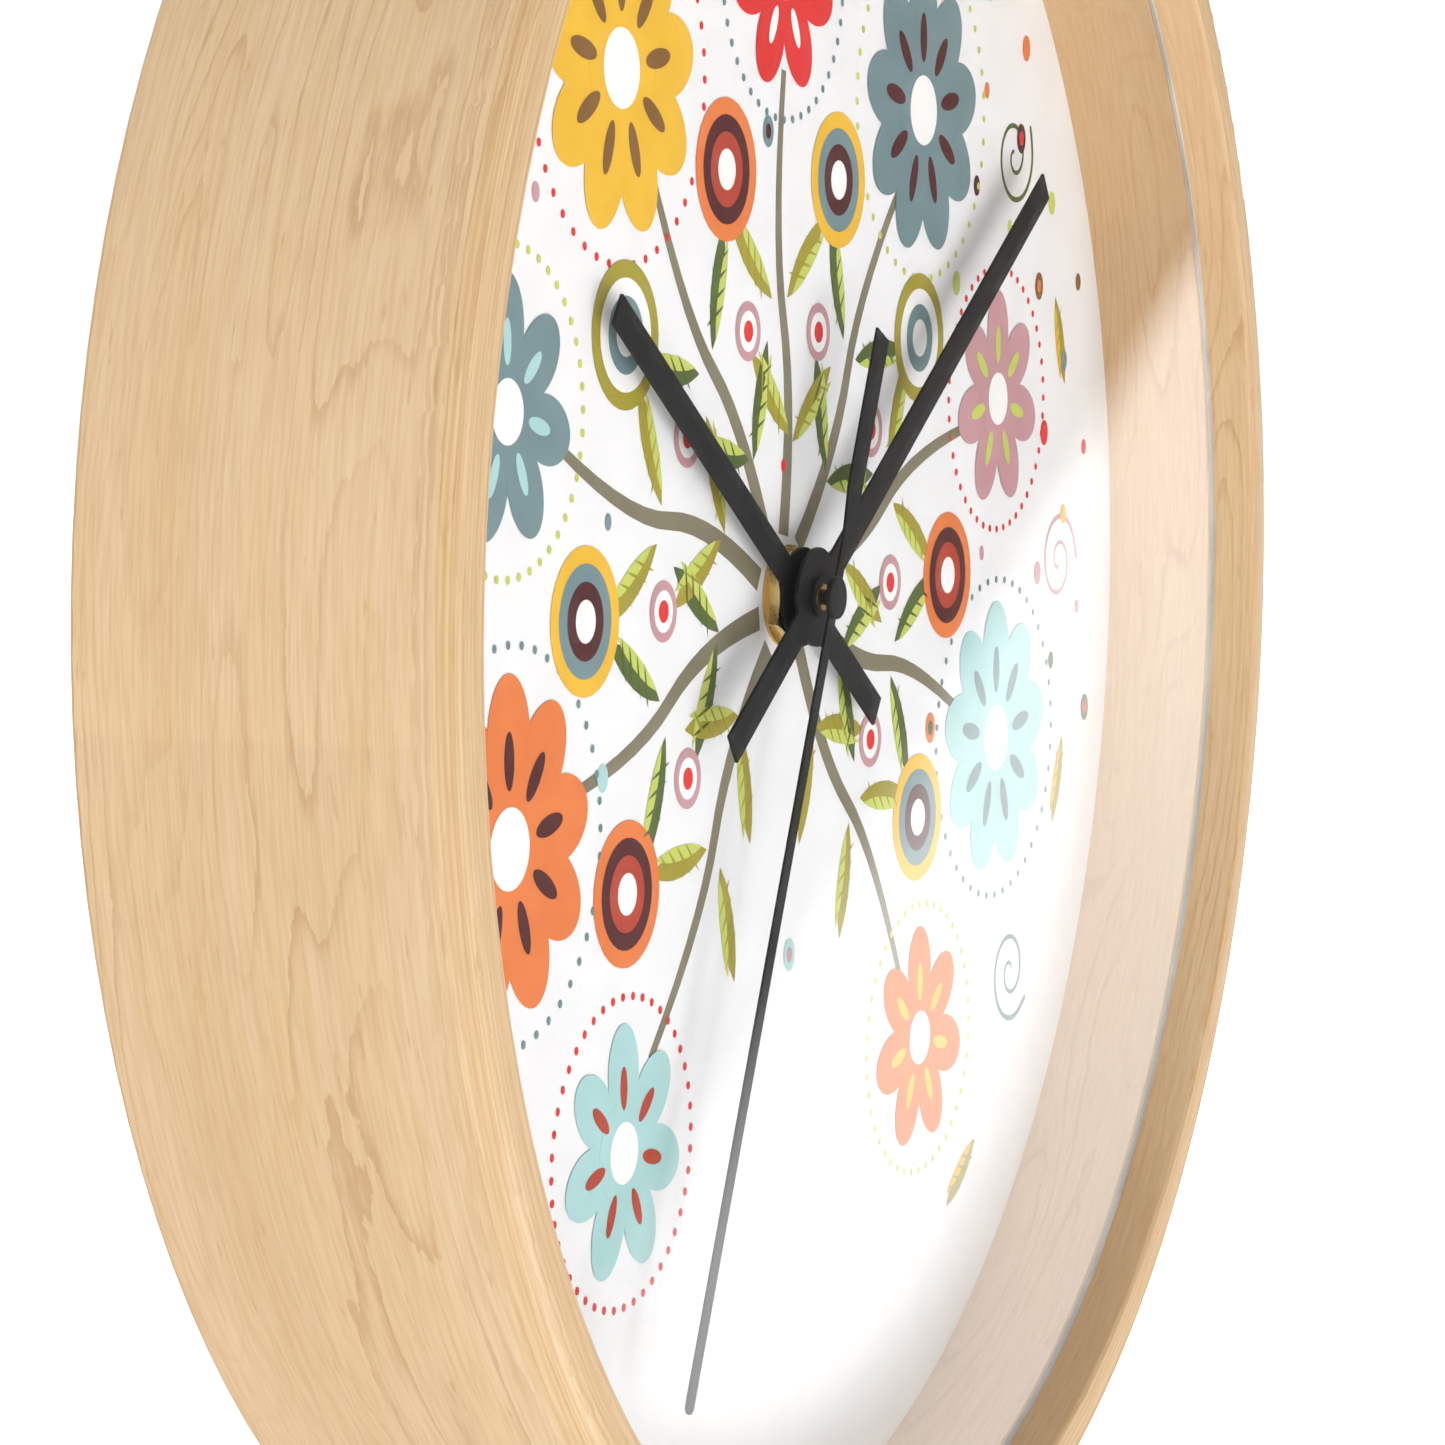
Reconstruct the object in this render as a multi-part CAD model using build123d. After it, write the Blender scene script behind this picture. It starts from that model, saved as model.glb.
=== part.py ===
from build123d import *
import math
import os

# Round wall clock with a deep bent-maple ring frame and a battery quartz movement.
# Millimetres. +Z is up (12 o'clock), the dial faces -Y and the wall plane is y = 0.
# The origin is the centre of the back face. "Depth" is the height above the wall, so y = -depth.

# Frame ring
RING_OUTER_R = 127.0
RING_INNER_R = 119.2
RING_DEPTH = 42.0
RING_FRONT_ROUND = 4.0
RING_SMALL_ROUND = 0.8
REBATE_R = 121.2
REBATE_CLEARANCE = 0.2

# Front stack, from the wall side to the room side
BOARD_BACK = 15.8
BOARD_FRONT = 18.2
DIAL_FRONT = 18.5
LENS_BACK = 34.2
LENS_FRONT = 35.8

# Hands: level of the plate above the wall, plate thickness, reach of tip and tail, and direction
HAND_WIDTH = 4.0
HUB_R = 6.1
HOUR_LEVEL, HOUR_TIP, HOUR_TAIL, HOUR_ANGLE = 20.9, 61.6, 28.4, 304.2
MINUTE_LEVEL, MINUTE_TIP, MINUTE_TAIL, MINUTE_ANGLE = 22.85, 94.6, 29.8, 56.1
SECOND_LEVEL, SECOND_TIP, SECOND_TAIL, SECOND_ANGLE = 25.3, 101.0, 35.3, 204.6
HAND_THICKNESS = 0.4
SECOND_THICKNESS = 0.3
NEEDLE_WIDTH = 2.0
CAP_R = 2.65

# Movement case
CASE_SIZE = 56.0
CASE_WALL = 1.2
CASE_BACK = 0.6
CASE_FRONT = 15.3
CASE_HALF = CASE_SIZE / 2
CASE_INSIDE = CASE_HALF - CASE_WALL
CASE_FLOOR = CASE_FRONT - CASE_WALL
COVER_FRONT = CASE_BACK + 1.2
BAY_WALL_LOW, BAY_WALL_HIGH = -12.4, -11.4

# Centre bush and its nut
BUSH_R = 4.0
BUSH_BORE_R = 2.55
BUSH_END = 20.7
NUT_ACROSS_FLATS = 11.0
NUT_BACK, NUT_FRONT = 18.9, 20.6

# Coaxial shafts at the centre: radius outside, and running clearance between them
SECOND_ARBOR_R = 0.5
MINUTE_TUBE_R = 1.6
HOUR_PIPE_R = 2.5
RUNNING = 0.05

# Battery, one AA cell lying across the lower half
CELL_R = 6.75
CELL_HALF_LENGTH = 24.8
CELL_Z = -19.5
CELL_DEPTH = 7.32

# Tooth form, as shares of the module and of the tooth pitch
ADDENDUM = 0.8
DEDENDUM = 1.1
ROOT_HALF = 0.33
TIP_HALF = 0.12

# Modules of the five gear meshes
MODULE_ROTOR = 0.20
MODULE_SECOND = 0.25
MODULE_THIRD = 9.0 / 34
MODULE_CENTRE = 0.25
MODULE_CANNON = 0.35
MODULE_HOUR = 8.4 / 25

# Teeth
ROTOR_TEETH = 10
FIFTH_TEETH, FIFTH_PINION = 60, 12
SECOND_TEETH, SECOND_PINION = 60, 8
THIRD_TEETH, THIRD_PINION = 60, 8
CENTRE_TEETH = 64
CANNON_TEETH = 12
MOTION_TEETH, MOTION_PINION = 36, 10
HOUR_TEETH = 40
SETTING_TEETH = 18


def polar(radius, angle):
    """The (x, z) point at a radius and an angle in degrees, counted from +X towards +Z."""
    return (radius * math.cos(math.radians(angle)), radius * math.sin(math.radians(angle)))


def offset_point(start, radius, angle):
    """The point a distance away from another one."""
    x, z = polar(radius, angle)
    return (start[0] + x, start[1] + z)


def centre_distance(teeth, pinion, module):
    return (teeth + pinion) * module / 2


# Directions from one arbor to the next, in degrees
TO_THIRD = 135.0
TO_FIFTH = 35.0
TO_ROTOR = 10.0
TO_MOTION = 60.0
TO_SETTING = 50.0

# Arbor places in the plane of the dial
CENTRE = (0.0, 0.0)
THIRD = offset_point(CENTRE, centre_distance(THIRD_TEETH, SECOND_PINION, MODULE_THIRD), TO_THIRD)
FIFTH = offset_point(CENTRE, centre_distance(SECOND_TEETH, FIFTH_PINION, MODULE_SECOND), TO_FIFTH)
ROTOR = offset_point(FIFTH, centre_distance(FIFTH_TEETH, ROTOR_TEETH, MODULE_ROTOR), TO_ROTOR)
MOTION = offset_point(CENTRE, centre_distance(MOTION_TEETH, CANNON_TEETH, MODULE_CANNON), TO_MOTION)
SETTING = offset_point(MOTION, centre_distance(MOTION_TEETH, SETTING_TEETH, MODULE_CANNON), TO_SETTING)

# Motor coil, to the right of the rotor
COIL_X = 22.6
COIL_DEPTH = 8.3
COIL_SCREW_Z = (-7.5, 19.0)


def plane_at(depth):
    """Plane parallel to the dial; its own x, y and z are world +X, +Z and -Y."""
    return Plane(origin=(0, -depth, 0), x_dir=(1, 0, 0), z_dir=(0, -1, 0))


def slab(sketch, back, front):
    """A sketch drawn as (x, z), made solid from one depth to another."""
    return extrude(plane_at(back) * sketch, front - back)


def disc(radius, back, front, centre=CENTRE, bore=0.0):
    """A round plate or pin along the hands' axis, with an optional bore."""
    shape = Circle(radius) - Circle(bore) if bore else Circle(radius)
    return slab(Pos(*centre) * shape, back, front)


def block(x_low, x_high, z_low, z_high, back, front):
    """A box from its limits in x, z and depth."""
    sketch = Pos((x_low + x_high) / 2, (z_low + z_high) / 2) * Rectangle(x_high - x_low, z_high - z_low)
    return slab(sketch, back, front)


def ring_of_profile(points):
    """A solid of revolution about the hands' axis, from (radius, depth) corners."""
    outline = Polyline(*[(radius, -depth) for radius, depth in points], close=True)
    return revolve(make_face(outline), Axis.Y, 360)


def gear(teeth, module, back, front, centre, tooth_at, bore=0.0):
    """A spur wheel of straight-sided teeth with one tooth centred on the angle tooth_at."""
    pitch_r = teeth * module / 2
    root_r = pitch_r - DEDENDUM * module
    tip_r = pitch_r + ADDENDUM * module
    pitch = 360 / teeth
    tooth = ((root_r, -ROOT_HALF), (tip_r, -TIP_HALF), (tip_r, TIP_HALF), (root_r, ROOT_HALF))
    corners = [
        polar(radius, tooth_at + (index + share) * pitch)
        for index in range(teeth)
        for radius, share in tooth
    ]
    outline = make_face(Polyline(*corners, close=True))
    if bore:
        outline -= Circle(bore)
    return slab(Pos(*centre) * outline, back, front)


def facing_gap(teeth, angle):
    """The tooth angle of a wheel that shows a gap to a neighbour lying back along the given direction."""
    return angle + 180 + 180 / teeth


def save(name, shape):
    """Write one node; a node of several solids is a group of like pieces."""
    shape.label = name
    export_step(shape, f"parts/{name}.step")


def hand_plate(level, thickness, tip, tail, width, hub_r, bore_r):
    """A straight flat-ended hand pointing to 12, with a round hub."""
    bar = Pos(0, (tip - tail) / 2) * Rectangle(width, tip + tail)
    return slab(bar + Circle(hub_r) - Circle(bore_r), level, level + thickness)


def turned(shape, clock_angle):
    """Turn a piece that points to 12 to a clock angle, clockwise as seen from the front."""
    return Rot(0, clock_angle, 0) * shape


os.makedirs("parts", exist_ok=True)


# ---------------------------------------------------------------- wooden frame and what it holds

POINT_COUNT = 8
POINT_THICKNESS = 0.5
POINT_HALF = 3.0
POINT_INNER, POINT_OUTER = 114.5, 124.5
POINT_BACK = BOARD_BACK - POINT_THICKNESS
retaining_point = block(-POINT_HALF, POINT_HALF, POINT_INNER, POINT_OUTER, POINT_BACK, BOARD_BACK)
point_angles = [22.5 + 360 / POINT_COUNT * index for index in range(POINT_COUNT)]
retaining_points = Compound(children=[turned(retaining_point, angle) for angle in point_angles])

frame_ring = disc(RING_OUTER_R, 0, RING_DEPTH, bore=RING_INNER_R)
frame_ring -= disc(REBATE_R, 0, LENS_FRONT)
front_edges = frame_ring.edges().filter_by(GeomType.CIRCLE).group_by(Axis.Y)[0].sort_by(SortBy.RADIUS)
frame_ring = fillet(front_edges[-1], RING_FRONT_ROUND)
front_edges = frame_ring.edges().filter_by(GeomType.CIRCLE).group_by(Axis.Y)[0].sort_by(SortBy.RADIUS)
frame_ring = fillet(front_edges[0], RING_SMALL_ROUND)
back_edges = frame_ring.edges().filter_by(GeomType.CIRCLE).group_by(Axis.Y)[-1].sort_by(SortBy.RADIUS)
frame_ring = fillet(back_edges[-1], RING_SMALL_ROUND)
for angle in point_angles:
    frame_ring -= turned(retaining_point, angle)
save("frame_ring", frame_ring)
save("retaining_points", retaining_points)

FIT_R = REBATE_R - REBATE_CLEARANCE
save("lens", disc(FIT_R, LENS_BACK, LENS_FRONT))
save("spacer_liner", disc(FIT_R, DIAL_FRONT, LENS_BACK, bore=RING_INNER_R))
SHAFT_HOLE_R = BUSH_R + 0.1
save("dial_sheet", disc(FIT_R, BOARD_FRONT, DIAL_FRONT, bore=SHAFT_HOLE_R))

# Hanger: a bent steel strap on the back board with a keyhole for a screw head
HANGER_Z = 92.0
HANGER_LEVEL = 3.0
HANGER_THICKNESS = 1.0
HANGER_FRONT = HANGER_LEVEL + HANGER_THICKNESS
HANGER_HALF = 9.0
HANGER_FOOT = 17.0
HANGER_LOW, HANGER_HIGH = 82.0, 106.0
KEYHOLE_R = 4.5
KEYHOLE_SLOT_R = 2.0
KEYHOLE_SLOT_TOP = 8.0
RIVET_R = 1.5
RIVET_HEAD_R = 2.6
RIVET_HEAD_HEIGHT = 0.9
RIVET_X, RIVET_Z = 13.2, 94.0

rivet_places = [(-RIVET_X, RIVET_Z), (RIVET_X, RIVET_Z)]
backing_board = disc(FIT_R, BOARD_BACK, BOARD_FRONT, bore=SHAFT_HOLE_R)
for place in rivet_places:
    backing_board -= disc(RIVET_R, BOARD_BACK, BOARD_FRONT, place)
save("backing_board", backing_board)

FOOT_FRONT = BOARD_BACK
FOOT_BACK = FOOT_FRONT - HANGER_THICKNESS
hanger = block(-HANGER_HALF, HANGER_HALF, HANGER_LOW, HANGER_HIGH, HANGER_LEVEL, HANGER_FRONT)
for side in (-1, 1):
    leg_x = sorted((side * HANGER_HALF, side * (HANGER_HALF - HANGER_THICKNESS)))
    foot_x = sorted((side * HANGER_FOOT, side * (HANGER_HALF - HANGER_THICKNESS)))
    hanger += block(*leg_x, HANGER_LOW, HANGER_HIGH, HANGER_LEVEL, FOOT_FRONT)
    hanger += block(*foot_x, HANGER_LOW, HANGER_HIGH, FOOT_BACK, FOOT_FRONT)
hanger = fillet(hanger.edges().filter_by(Axis.Z).group_by(Axis.Y)[-1], HANGER_THICKNESS * 0.8)
keyhole = Pos(0, KEYHOLE_SLOT_TOP / 2) * Rectangle(2 * KEYHOLE_SLOT_R, KEYHOLE_SLOT_TOP)
keyhole += Circle(KEYHOLE_R)
keyhole += Pos(0, KEYHOLE_SLOT_TOP) * Circle(KEYHOLE_SLOT_R)
hanger -= slab(Pos(0, HANGER_Z) * keyhole, HANGER_LEVEL, HANGER_FRONT)
for place in rivet_places:
    hanger -= disc(RIVET_R, FOOT_BACK, FOOT_FRONT, place)
save("hanger_bracket", hanger)

rivets = []
for place in rivet_places:
    head = disc(RIVET_HEAD_R, FOOT_BACK - RIVET_HEAD_HEIGHT, FOOT_BACK, place)
    head = fillet(head.edges().group_by(Axis.Y)[-1], 0.5)
    rivets.append(head + disc(RIVET_R, FOOT_BACK, BOARD_FRONT, place))
save("hanger_rivets", Compound(children=rivets))


# ---------------------------------------------------------------- movement case

COVER_GAP = 0.1
POST_R = 1.5
SPIGOT_R = 0.8
BRIDGE_BACK, BRIDGE_FRONT = 8.5, 9.2
BRIDGE_POSTS = [(-9.5, 13.5), (-10.0, -2.5), (15.6, -3.0), (15.9, 14.6)]
COVER_SCREWS = [(-24.2, 24.2), (24.2, 24.2), (-24.2, -8.6)]
COVER_POST_R = 2.2
SCREW_R = 0.9
BOARD_POSTS = [(-18.5, 24.0), (1.5, 24.5)]
PCB_BACK, PCB_FRONT = 10.5, 11.3
SETTING_BOSS_BACK = 13.0
THIRD_POST_BACK = 11.4
MOTION_STUB_BACK = 10.95
MOTION_STUB_R = 0.8
THIN_ARBOR_R = 0.4
SETTING_ARBOR_R = 0.8
COIL_POST_R = 1.6
THIRD_POST_R = 0.9
SETTING_BOSS_R = 1.8
CORE_FRONT = 8.8

case_square = RectangleRounded(CASE_SIZE, CASE_SIZE, 3.0)
inside_square = RectangleRounded(2 * CASE_INSIDE, 2 * CASE_INSIDE, 1.8)
case = slab(case_square, CASE_BACK, CASE_FRONT) - slab(inside_square, CASE_BACK, CASE_FLOOR)
case += block(-CASE_INSIDE, CASE_INSIDE, BAY_WALL_LOW, BAY_WALL_HIGH, CASE_BACK, CASE_FLOOR)
for place in BRIDGE_POSTS:
    case += disc(POST_R, BRIDGE_FRONT, CASE_FLOOR, place)
    case += disc(SPIGOT_R, BRIDGE_BACK, BRIDGE_FRONT, place)
for place in COVER_SCREWS:
    case += disc(COVER_POST_R, COVER_FRONT, CASE_FLOOR, place)
    case -= disc(SCREW_R, COVER_FRONT, COVER_FRONT + 5.0, place)
for place in BOARD_POSTS:
    case += disc(POST_R, PCB_FRONT, CASE_FLOOR, place)
    case += disc(SPIGOT_R, PCB_BACK, PCB_FRONT, place)
for z in COIL_SCREW_Z:
    case += disc(COIL_POST_R, CORE_FRONT, CASE_FLOOR, (COIL_X, z))
    case -= disc(SCREW_R, CORE_FRONT, CORE_FRONT + 3.0, (COIL_X, z))
case += disc(THIRD_POST_R, THIRD_POST_BACK, CASE_FLOOR, THIRD)
case -= disc(THIN_ARBOR_R + RUNNING, THIRD_POST_BACK, THIRD_POST_BACK + 0.8, THIRD)
case += disc(MOTION_STUB_R, MOTION_STUB_BACK, CASE_FLOOR, MOTION)
case += disc(SETTING_BOSS_R, SETTING_BOSS_BACK, CASE_FLOOR, SETTING)
case -= disc(SETTING_ARBOR_R + RUNNING, SETTING_BOSS_BACK, SETTING_BOSS_BACK + 0.9, SETTING)
case -= disc(BUSH_R, CASE_FLOOR, CASE_FRONT)
# Notches that let the two contact strips out of the battery bay
STRIP = 0.4
STRIP_BACK, STRIP_FRONT = 10.6, 12.6
for side in (-1, 1):
    notch_x = sorted((side * CASE_INSIDE, side * (CASE_INSIDE - STRIP - 0.1)))
    case -= block(*notch_x, BAY_WALL_LOW, BAY_WALL_HIGH, STRIP_BACK - 0.1, STRIP_FRONT + 0.1)
save("movement_case", case)

# Back cover of the gear chamber, with the opening for the setting knob and three pivot cups
KNOB_R = 4.2
KNOB_OPENING_R = 4.6
COVER_PIVOT_BACK = 1.0
SCREW_SINK_R = 1.9
SCREW_SEAT = CASE_BACK + 0.6
COVER_HALF = CASE_INSIDE - COVER_GAP
cover_low = BAY_WALL_HIGH + COVER_GAP
cover = block(-COVER_HALF, COVER_HALF, cover_low, COVER_HALF, CASE_BACK, COVER_FRONT)
cover = fillet(cover.edges().filter_by(Axis.Y).group_by(Axis.Z)[-1], 1.8)
cover -= disc(KNOB_OPENING_R, CASE_BACK, COVER_FRONT, SETTING)
cover -= disc(SECOND_ARBOR_R + RUNNING, COVER_PIVOT_BACK, COVER_FRONT, CENTRE)
for place in (THIRD, FIFTH, ROTOR):
    cover -= disc(THIN_ARBOR_R + RUNNING, COVER_PIVOT_BACK, COVER_FRONT, place)
for place in COVER_SCREWS:
    cover -= disc(SCREW_R + 0.1, CASE_BACK, COVER_FRONT, place)
    cover -= disc(SCREW_SINK_R, CASE_BACK, SCREW_SEAT, place)
save("movement_cover", cover)


SCREW_HEAD_R = 1.7
RECESS_LONG, RECESS_SHORT, RECESS_DEPTH = 2.0, 0.4, 0.25


def small_screw(place, head_back, head_front, tip):
    """A pan-head self-tapping screw driven towards the room, with a cross recess in its head."""
    head = disc(SCREW_HEAD_R, head_back, head_front, place)
    for width, height in ((RECESS_LONG, RECESS_SHORT), (RECESS_SHORT, RECESS_LONG)):
        recess = Pos(*place) * Rectangle(width, height)
        head -= slab(recess, head_back, head_back + RECESS_DEPTH)
    return head + disc(SCREW_R, head_front, tip, place)


COVER_SCREW_TIP = COVER_FRONT + 4.6
cover_screws = [
    small_screw(place, CASE_BACK + 0.1, SCREW_SEAT, COVER_SCREW_TIP)
    for place in COVER_SCREWS
]
save("cover_screws", Compound(children=cover_screws))

# Bridge that carries the front pivots inside the case
BRIDGE_CENTRE = (3.4, 5.9)
BRIDGE_WIDTH, BRIDGE_HEIGHT, BRIDGE_CORNER_R = 29.4, 21.6, 1.5
bridge_outline = Pos(*BRIDGE_CENTRE) * RectangleRounded(BRIDGE_WIDTH, BRIDGE_HEIGHT, BRIDGE_CORNER_R)
bridge = slab(bridge_outline, BRIDGE_BACK, BRIDGE_FRONT)
for place in BRIDGE_POSTS:
    bridge -= disc(SPIGOT_R, BRIDGE_BACK, BRIDGE_FRONT, place)
for place, radius in (
    (CENTRE, SECOND_ARBOR_R),
    (THIRD, THIN_ARBOR_R),
    (FIFTH, THIN_ARBOR_R),
    (ROTOR, THIN_ARBOR_R),
    (SETTING, SETTING_ARBOR_R),
):
    bridge -= disc(radius + RUNNING, BRIDGE_BACK, BRIDGE_FRONT, place)
save("gear_bridge", bridge)

FLANGE_R, FLANGE_THICKNESS = 5.0, 0.6
bush = disc(FLANGE_R, CASE_FLOOR - FLANGE_THICKNESS, CASE_FLOOR, bore=BUSH_BORE_R)
bush += disc(BUSH_R, CASE_FLOOR, BUSH_END, bore=BUSH_BORE_R)
bush = chamfer(bush.edges().group_by(Axis.Y)[0].sort_by(SortBy.RADIUS)[-1], 0.3)
save("centre_bush", bush)

GASKET_R = 12.0
WASHER_R = 6.2
save("rubber_gasket", disc(GASKET_R, CASE_FRONT, BOARD_BACK, bore=BUSH_R))
save("nut_washer", disc(WASHER_R, DIAL_FRONT, NUT_BACK, bore=SHAFT_HOLE_R))

# The nut's front corners are turned off in a cone
NUT_CORNER_R, NUT_FACE_R, NUT_CONE_DEPTH = 6.4, 5.3, 0.45
hexagon = RegularPolygon(NUT_ACROSS_FLATS / 2, 6, major_radius=False, rotation=30)
nut = slab(hexagon, NUT_BACK, NUT_FRONT)
nut &= ring_of_profile(
    (
        (0, NUT_BACK),
        (NUT_CORNER_R, NUT_BACK),
        (NUT_CORNER_R, NUT_FRONT - NUT_CONE_DEPTH),
        (NUT_FACE_R, NUT_FRONT),
        (0, NUT_FRONT),
    )
)
nut -= disc(BUSH_R, NUT_BACK, NUT_FRONT)
save("mounting_nut", nut)


# ---------------------------------------------------------------- electrical parts

CELL_NUB_R, CELL_NUB_HEIGHT = 2.7, 1.4
CELL_ROUND = 0.6
cell = disc(CELL_R, -CELL_HALF_LENGTH, CELL_HALF_LENGTH)
cell += disc(CELL_NUB_R, CELL_HALF_LENGTH, CELL_HALF_LENGTH + CELL_NUB_HEIGHT)
cell = fillet(cell.edges().filter_by(GeomType.CIRCLE).sort_by(SortBy.RADIUS)[-2:], CELL_ROUND)
save("battery_cell", Pos(0, -CELL_DEPTH, CELL_Z) * Rot(0, 0, -90) * cell)

# Contact strips: a plate in the bay, a strip past the partition, and a finger on the circuit board
PLATE_LOW, PLATE_BACK = 1.8 - CASE_INSIDE, 2.5
FINGER = 0.3
positive_x = (-CASE_INSIDE, -CASE_INSIDE + STRIP)
POSITIVE_TIP_X = -18.0
POSITIVE_TIP_LOW, POSITIVE_TIP_HIGH = 17.4, 18.6
positive = block(*positive_x, PLATE_LOW, BAY_WALL_LOW, PLATE_BACK, STRIP_FRONT)
positive += block(*positive_x, BAY_WALL_LOW, POSITIVE_TIP_HIGH, STRIP_BACK, STRIP_FRONT)
positive += block(
    -CASE_INSIDE,
    POSITIVE_TIP_X,
    POSITIVE_TIP_LOW,
    POSITIVE_TIP_HIGH,
    PCB_FRONT,
    PCB_FRONT + FINGER,
)
save("contact_positive", positive)

negative_x = (CASE_INSIDE - STRIP, CASE_INSIDE)
NEGATIVE_TIP_X = 2.0
NEGATIVE_TIP_LOW, NEGATIVE_TIP_HIGH = 20.9, 21.9
tip_z = (NEGATIVE_TIP_LOW, NEGATIVE_TIP_HIGH)
negative = block(*negative_x, PLATE_LOW, BAY_WALL_LOW, PLATE_BACK, STRIP_FRONT)
negative += block(*negative_x, BAY_WALL_LOW, NEGATIVE_TIP_HIGH, STRIP_BACK, STRIP_FRONT)
negative += block(NEGATIVE_TIP_X, CASE_INSIDE, *tip_z, STRIP_FRONT, STRIP_FRONT + FINGER)
negative += block(NEGATIVE_TIP_X, NEGATIVE_TIP_X + 1.0, *tip_z, PCB_FRONT, STRIP_FRONT)

# The negative spring: turns that step in towards the cell, each narrower than the last
SPRING_TURNS = 3
SPRING_R, SPRING_STEP, SPRING_RISE, SPRING_WIDTH = 4.2, 1.0, 0.5, 1.1
spring_base = CASE_INSIDE - STRIP
for turn in range(SPRING_TURNS):
    coil_r = SPRING_R - SPRING_STEP * turn
    coil_low = spring_base - SPRING_RISE * (turn + 1)
    wire = disc(coil_r, coil_low, coil_low + SPRING_RISE, bore=coil_r - SPRING_WIDTH)
    negative += Pos(0, -CELL_DEPTH, CELL_Z) * Rot(0, 0, 90) * wire
save("contact_negative", negative)

PCB_LEFT, PCB_RIGHT = -21.0, 4.0
PCB_LOW, PCB_HIGH = 16.4, 26.5
circuit_board = block(PCB_LEFT, PCB_RIGHT, PCB_LOW, PCB_HIGH, PCB_BACK, PCB_FRONT)
for place in BOARD_POSTS:
    circuit_board -= disc(SPIGOT_R, PCB_BACK, PCB_FRONT, place)
save("circuit_board", circuit_board)

CHIP_R, CHIP_HEIGHT, CHIP_ROUND = 2.6, 1.0, 0.8
CHIP_PLACE = (-6.5, 21.5)
driver_chip = disc(CHIP_R, PCB_BACK - CHIP_HEIGHT, PCB_BACK, CHIP_PLACE)
driver_chip = fillet(driver_chip.edges().group_by(Axis.Y)[-1], CHIP_ROUND)
save("driver_chip", driver_chip)

# The crystal's can lies on the board, its two leads downwards
CAN_R, CAN_LENGTH, CAN_ROUND = 1.0, 6.0, 0.3
CAN_X, CAN_LOW = -13.5, 18.4
LEAD_HALF_GAP, LEAD_WIDTH, LEAD_LENGTH = 0.4, 0.25, 1.6
crystal_level = PCB_BACK - CAN_R
crystal = extrude(Plane(origin=(CAN_X, -crystal_level, CAN_LOW)) * Circle(CAN_R), CAN_LENGTH)
crystal = fillet(crystal.edges().group_by(Axis.Z)[-1], CAN_ROUND)
lead = Box(LEAD_WIDTH, LEAD_WIDTH, LEAD_LENGTH)
for side in (-1, 1):
    crystal += Pos(CAN_X + LEAD_HALF_GAP * side, -crystal_level, CAN_LOW - LEAD_LENGTH / 2) * lead
save("quartz_crystal", crystal)

# Stepping motor: stator plate round the rotor, coil core beside it, bobbin and winding
STATOR_BACK, STATOR_FRONT = 7.0, 7.8
STATOR_LOW, STATOR_HIGH = -9.0, 20.5
ROTOR_HOLE_R = 3.4
CORE_HALF = 1.7
BOBBIN_LOW, BOBBIN_HIGH = -5.5, 17.0
WINDING_R = 3.3
BOBBIN_TUBE_R = 2.2
STATOR_LEFT, STATOR_WAIST, STATOR_RIGHT = 12.2, 16.6, COIL_X + 2.2
STATOR_EYE_R = 4.8
LOW_ARM_TOP, HIGH_ARM_BOTTOM = -5.9, 17.4
NOTCH_R, NOTCH_REACH = 0.5, 3.332
stator = block(STATOR_LEFT, STATOR_WAIST, STATOR_LOW, STATOR_HIGH, STATOR_BACK, STATOR_FRONT)
stator += disc(STATOR_EYE_R, STATOR_BACK, STATOR_FRONT, ROTOR)
stator += block(STATOR_LEFT, STATOR_RIGHT, STATOR_LOW, LOW_ARM_TOP, STATOR_BACK, STATOR_FRONT)
stator += block(STATOR_LEFT, STATOR_RIGHT, HIGH_ARM_BOTTOM, STATOR_HIGH, STATOR_BACK, STATOR_FRONT)
stator -= disc(ROTOR_HOLE_R, STATOR_BACK, STATOR_FRONT, ROTOR)
for side in (-1, 1):
    notch_centre = (ROTOR[0] + side * NOTCH_REACH, ROTOR[1])
    stator -= disc(NOTCH_R, STATOR_BACK, STATOR_FRONT, notch_centre)
core_x = (COIL_X - CORE_HALF, COIL_X + CORE_HALF)
core = block(*core_x, STATOR_LOW, STATOR_HIGH, STATOR_FRONT, CORE_FRONT)
for z in COIL_SCREW_Z:
    stator -= disc(SCREW_R, STATOR_BACK, STATOR_FRONT, (COIL_X, z))
    core -= disc(SCREW_R, STATOR_FRONT, CORE_FRONT, (COIL_X, z))
save("stator_plate", stator)
save("coil_core", core)
COIL_HEAD_BACK = STATOR_BACK - 0.6
COIL_SCREW_TIP = CORE_FRONT + 2.6
coil_screws = [
    small_screw((COIL_X, z), COIL_HEAD_BACK, STATOR_BACK, COIL_SCREW_TIP)
    for z in COIL_SCREW_Z
]
save("coil_screws", Compound(children=coil_screws))


def along_coil(radius, low, high):
    """A round bar along the coil's own axis."""
    return extrude(Plane(origin=(COIL_X, -COIL_DEPTH, low)) * Circle(radius), high - low)


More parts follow.
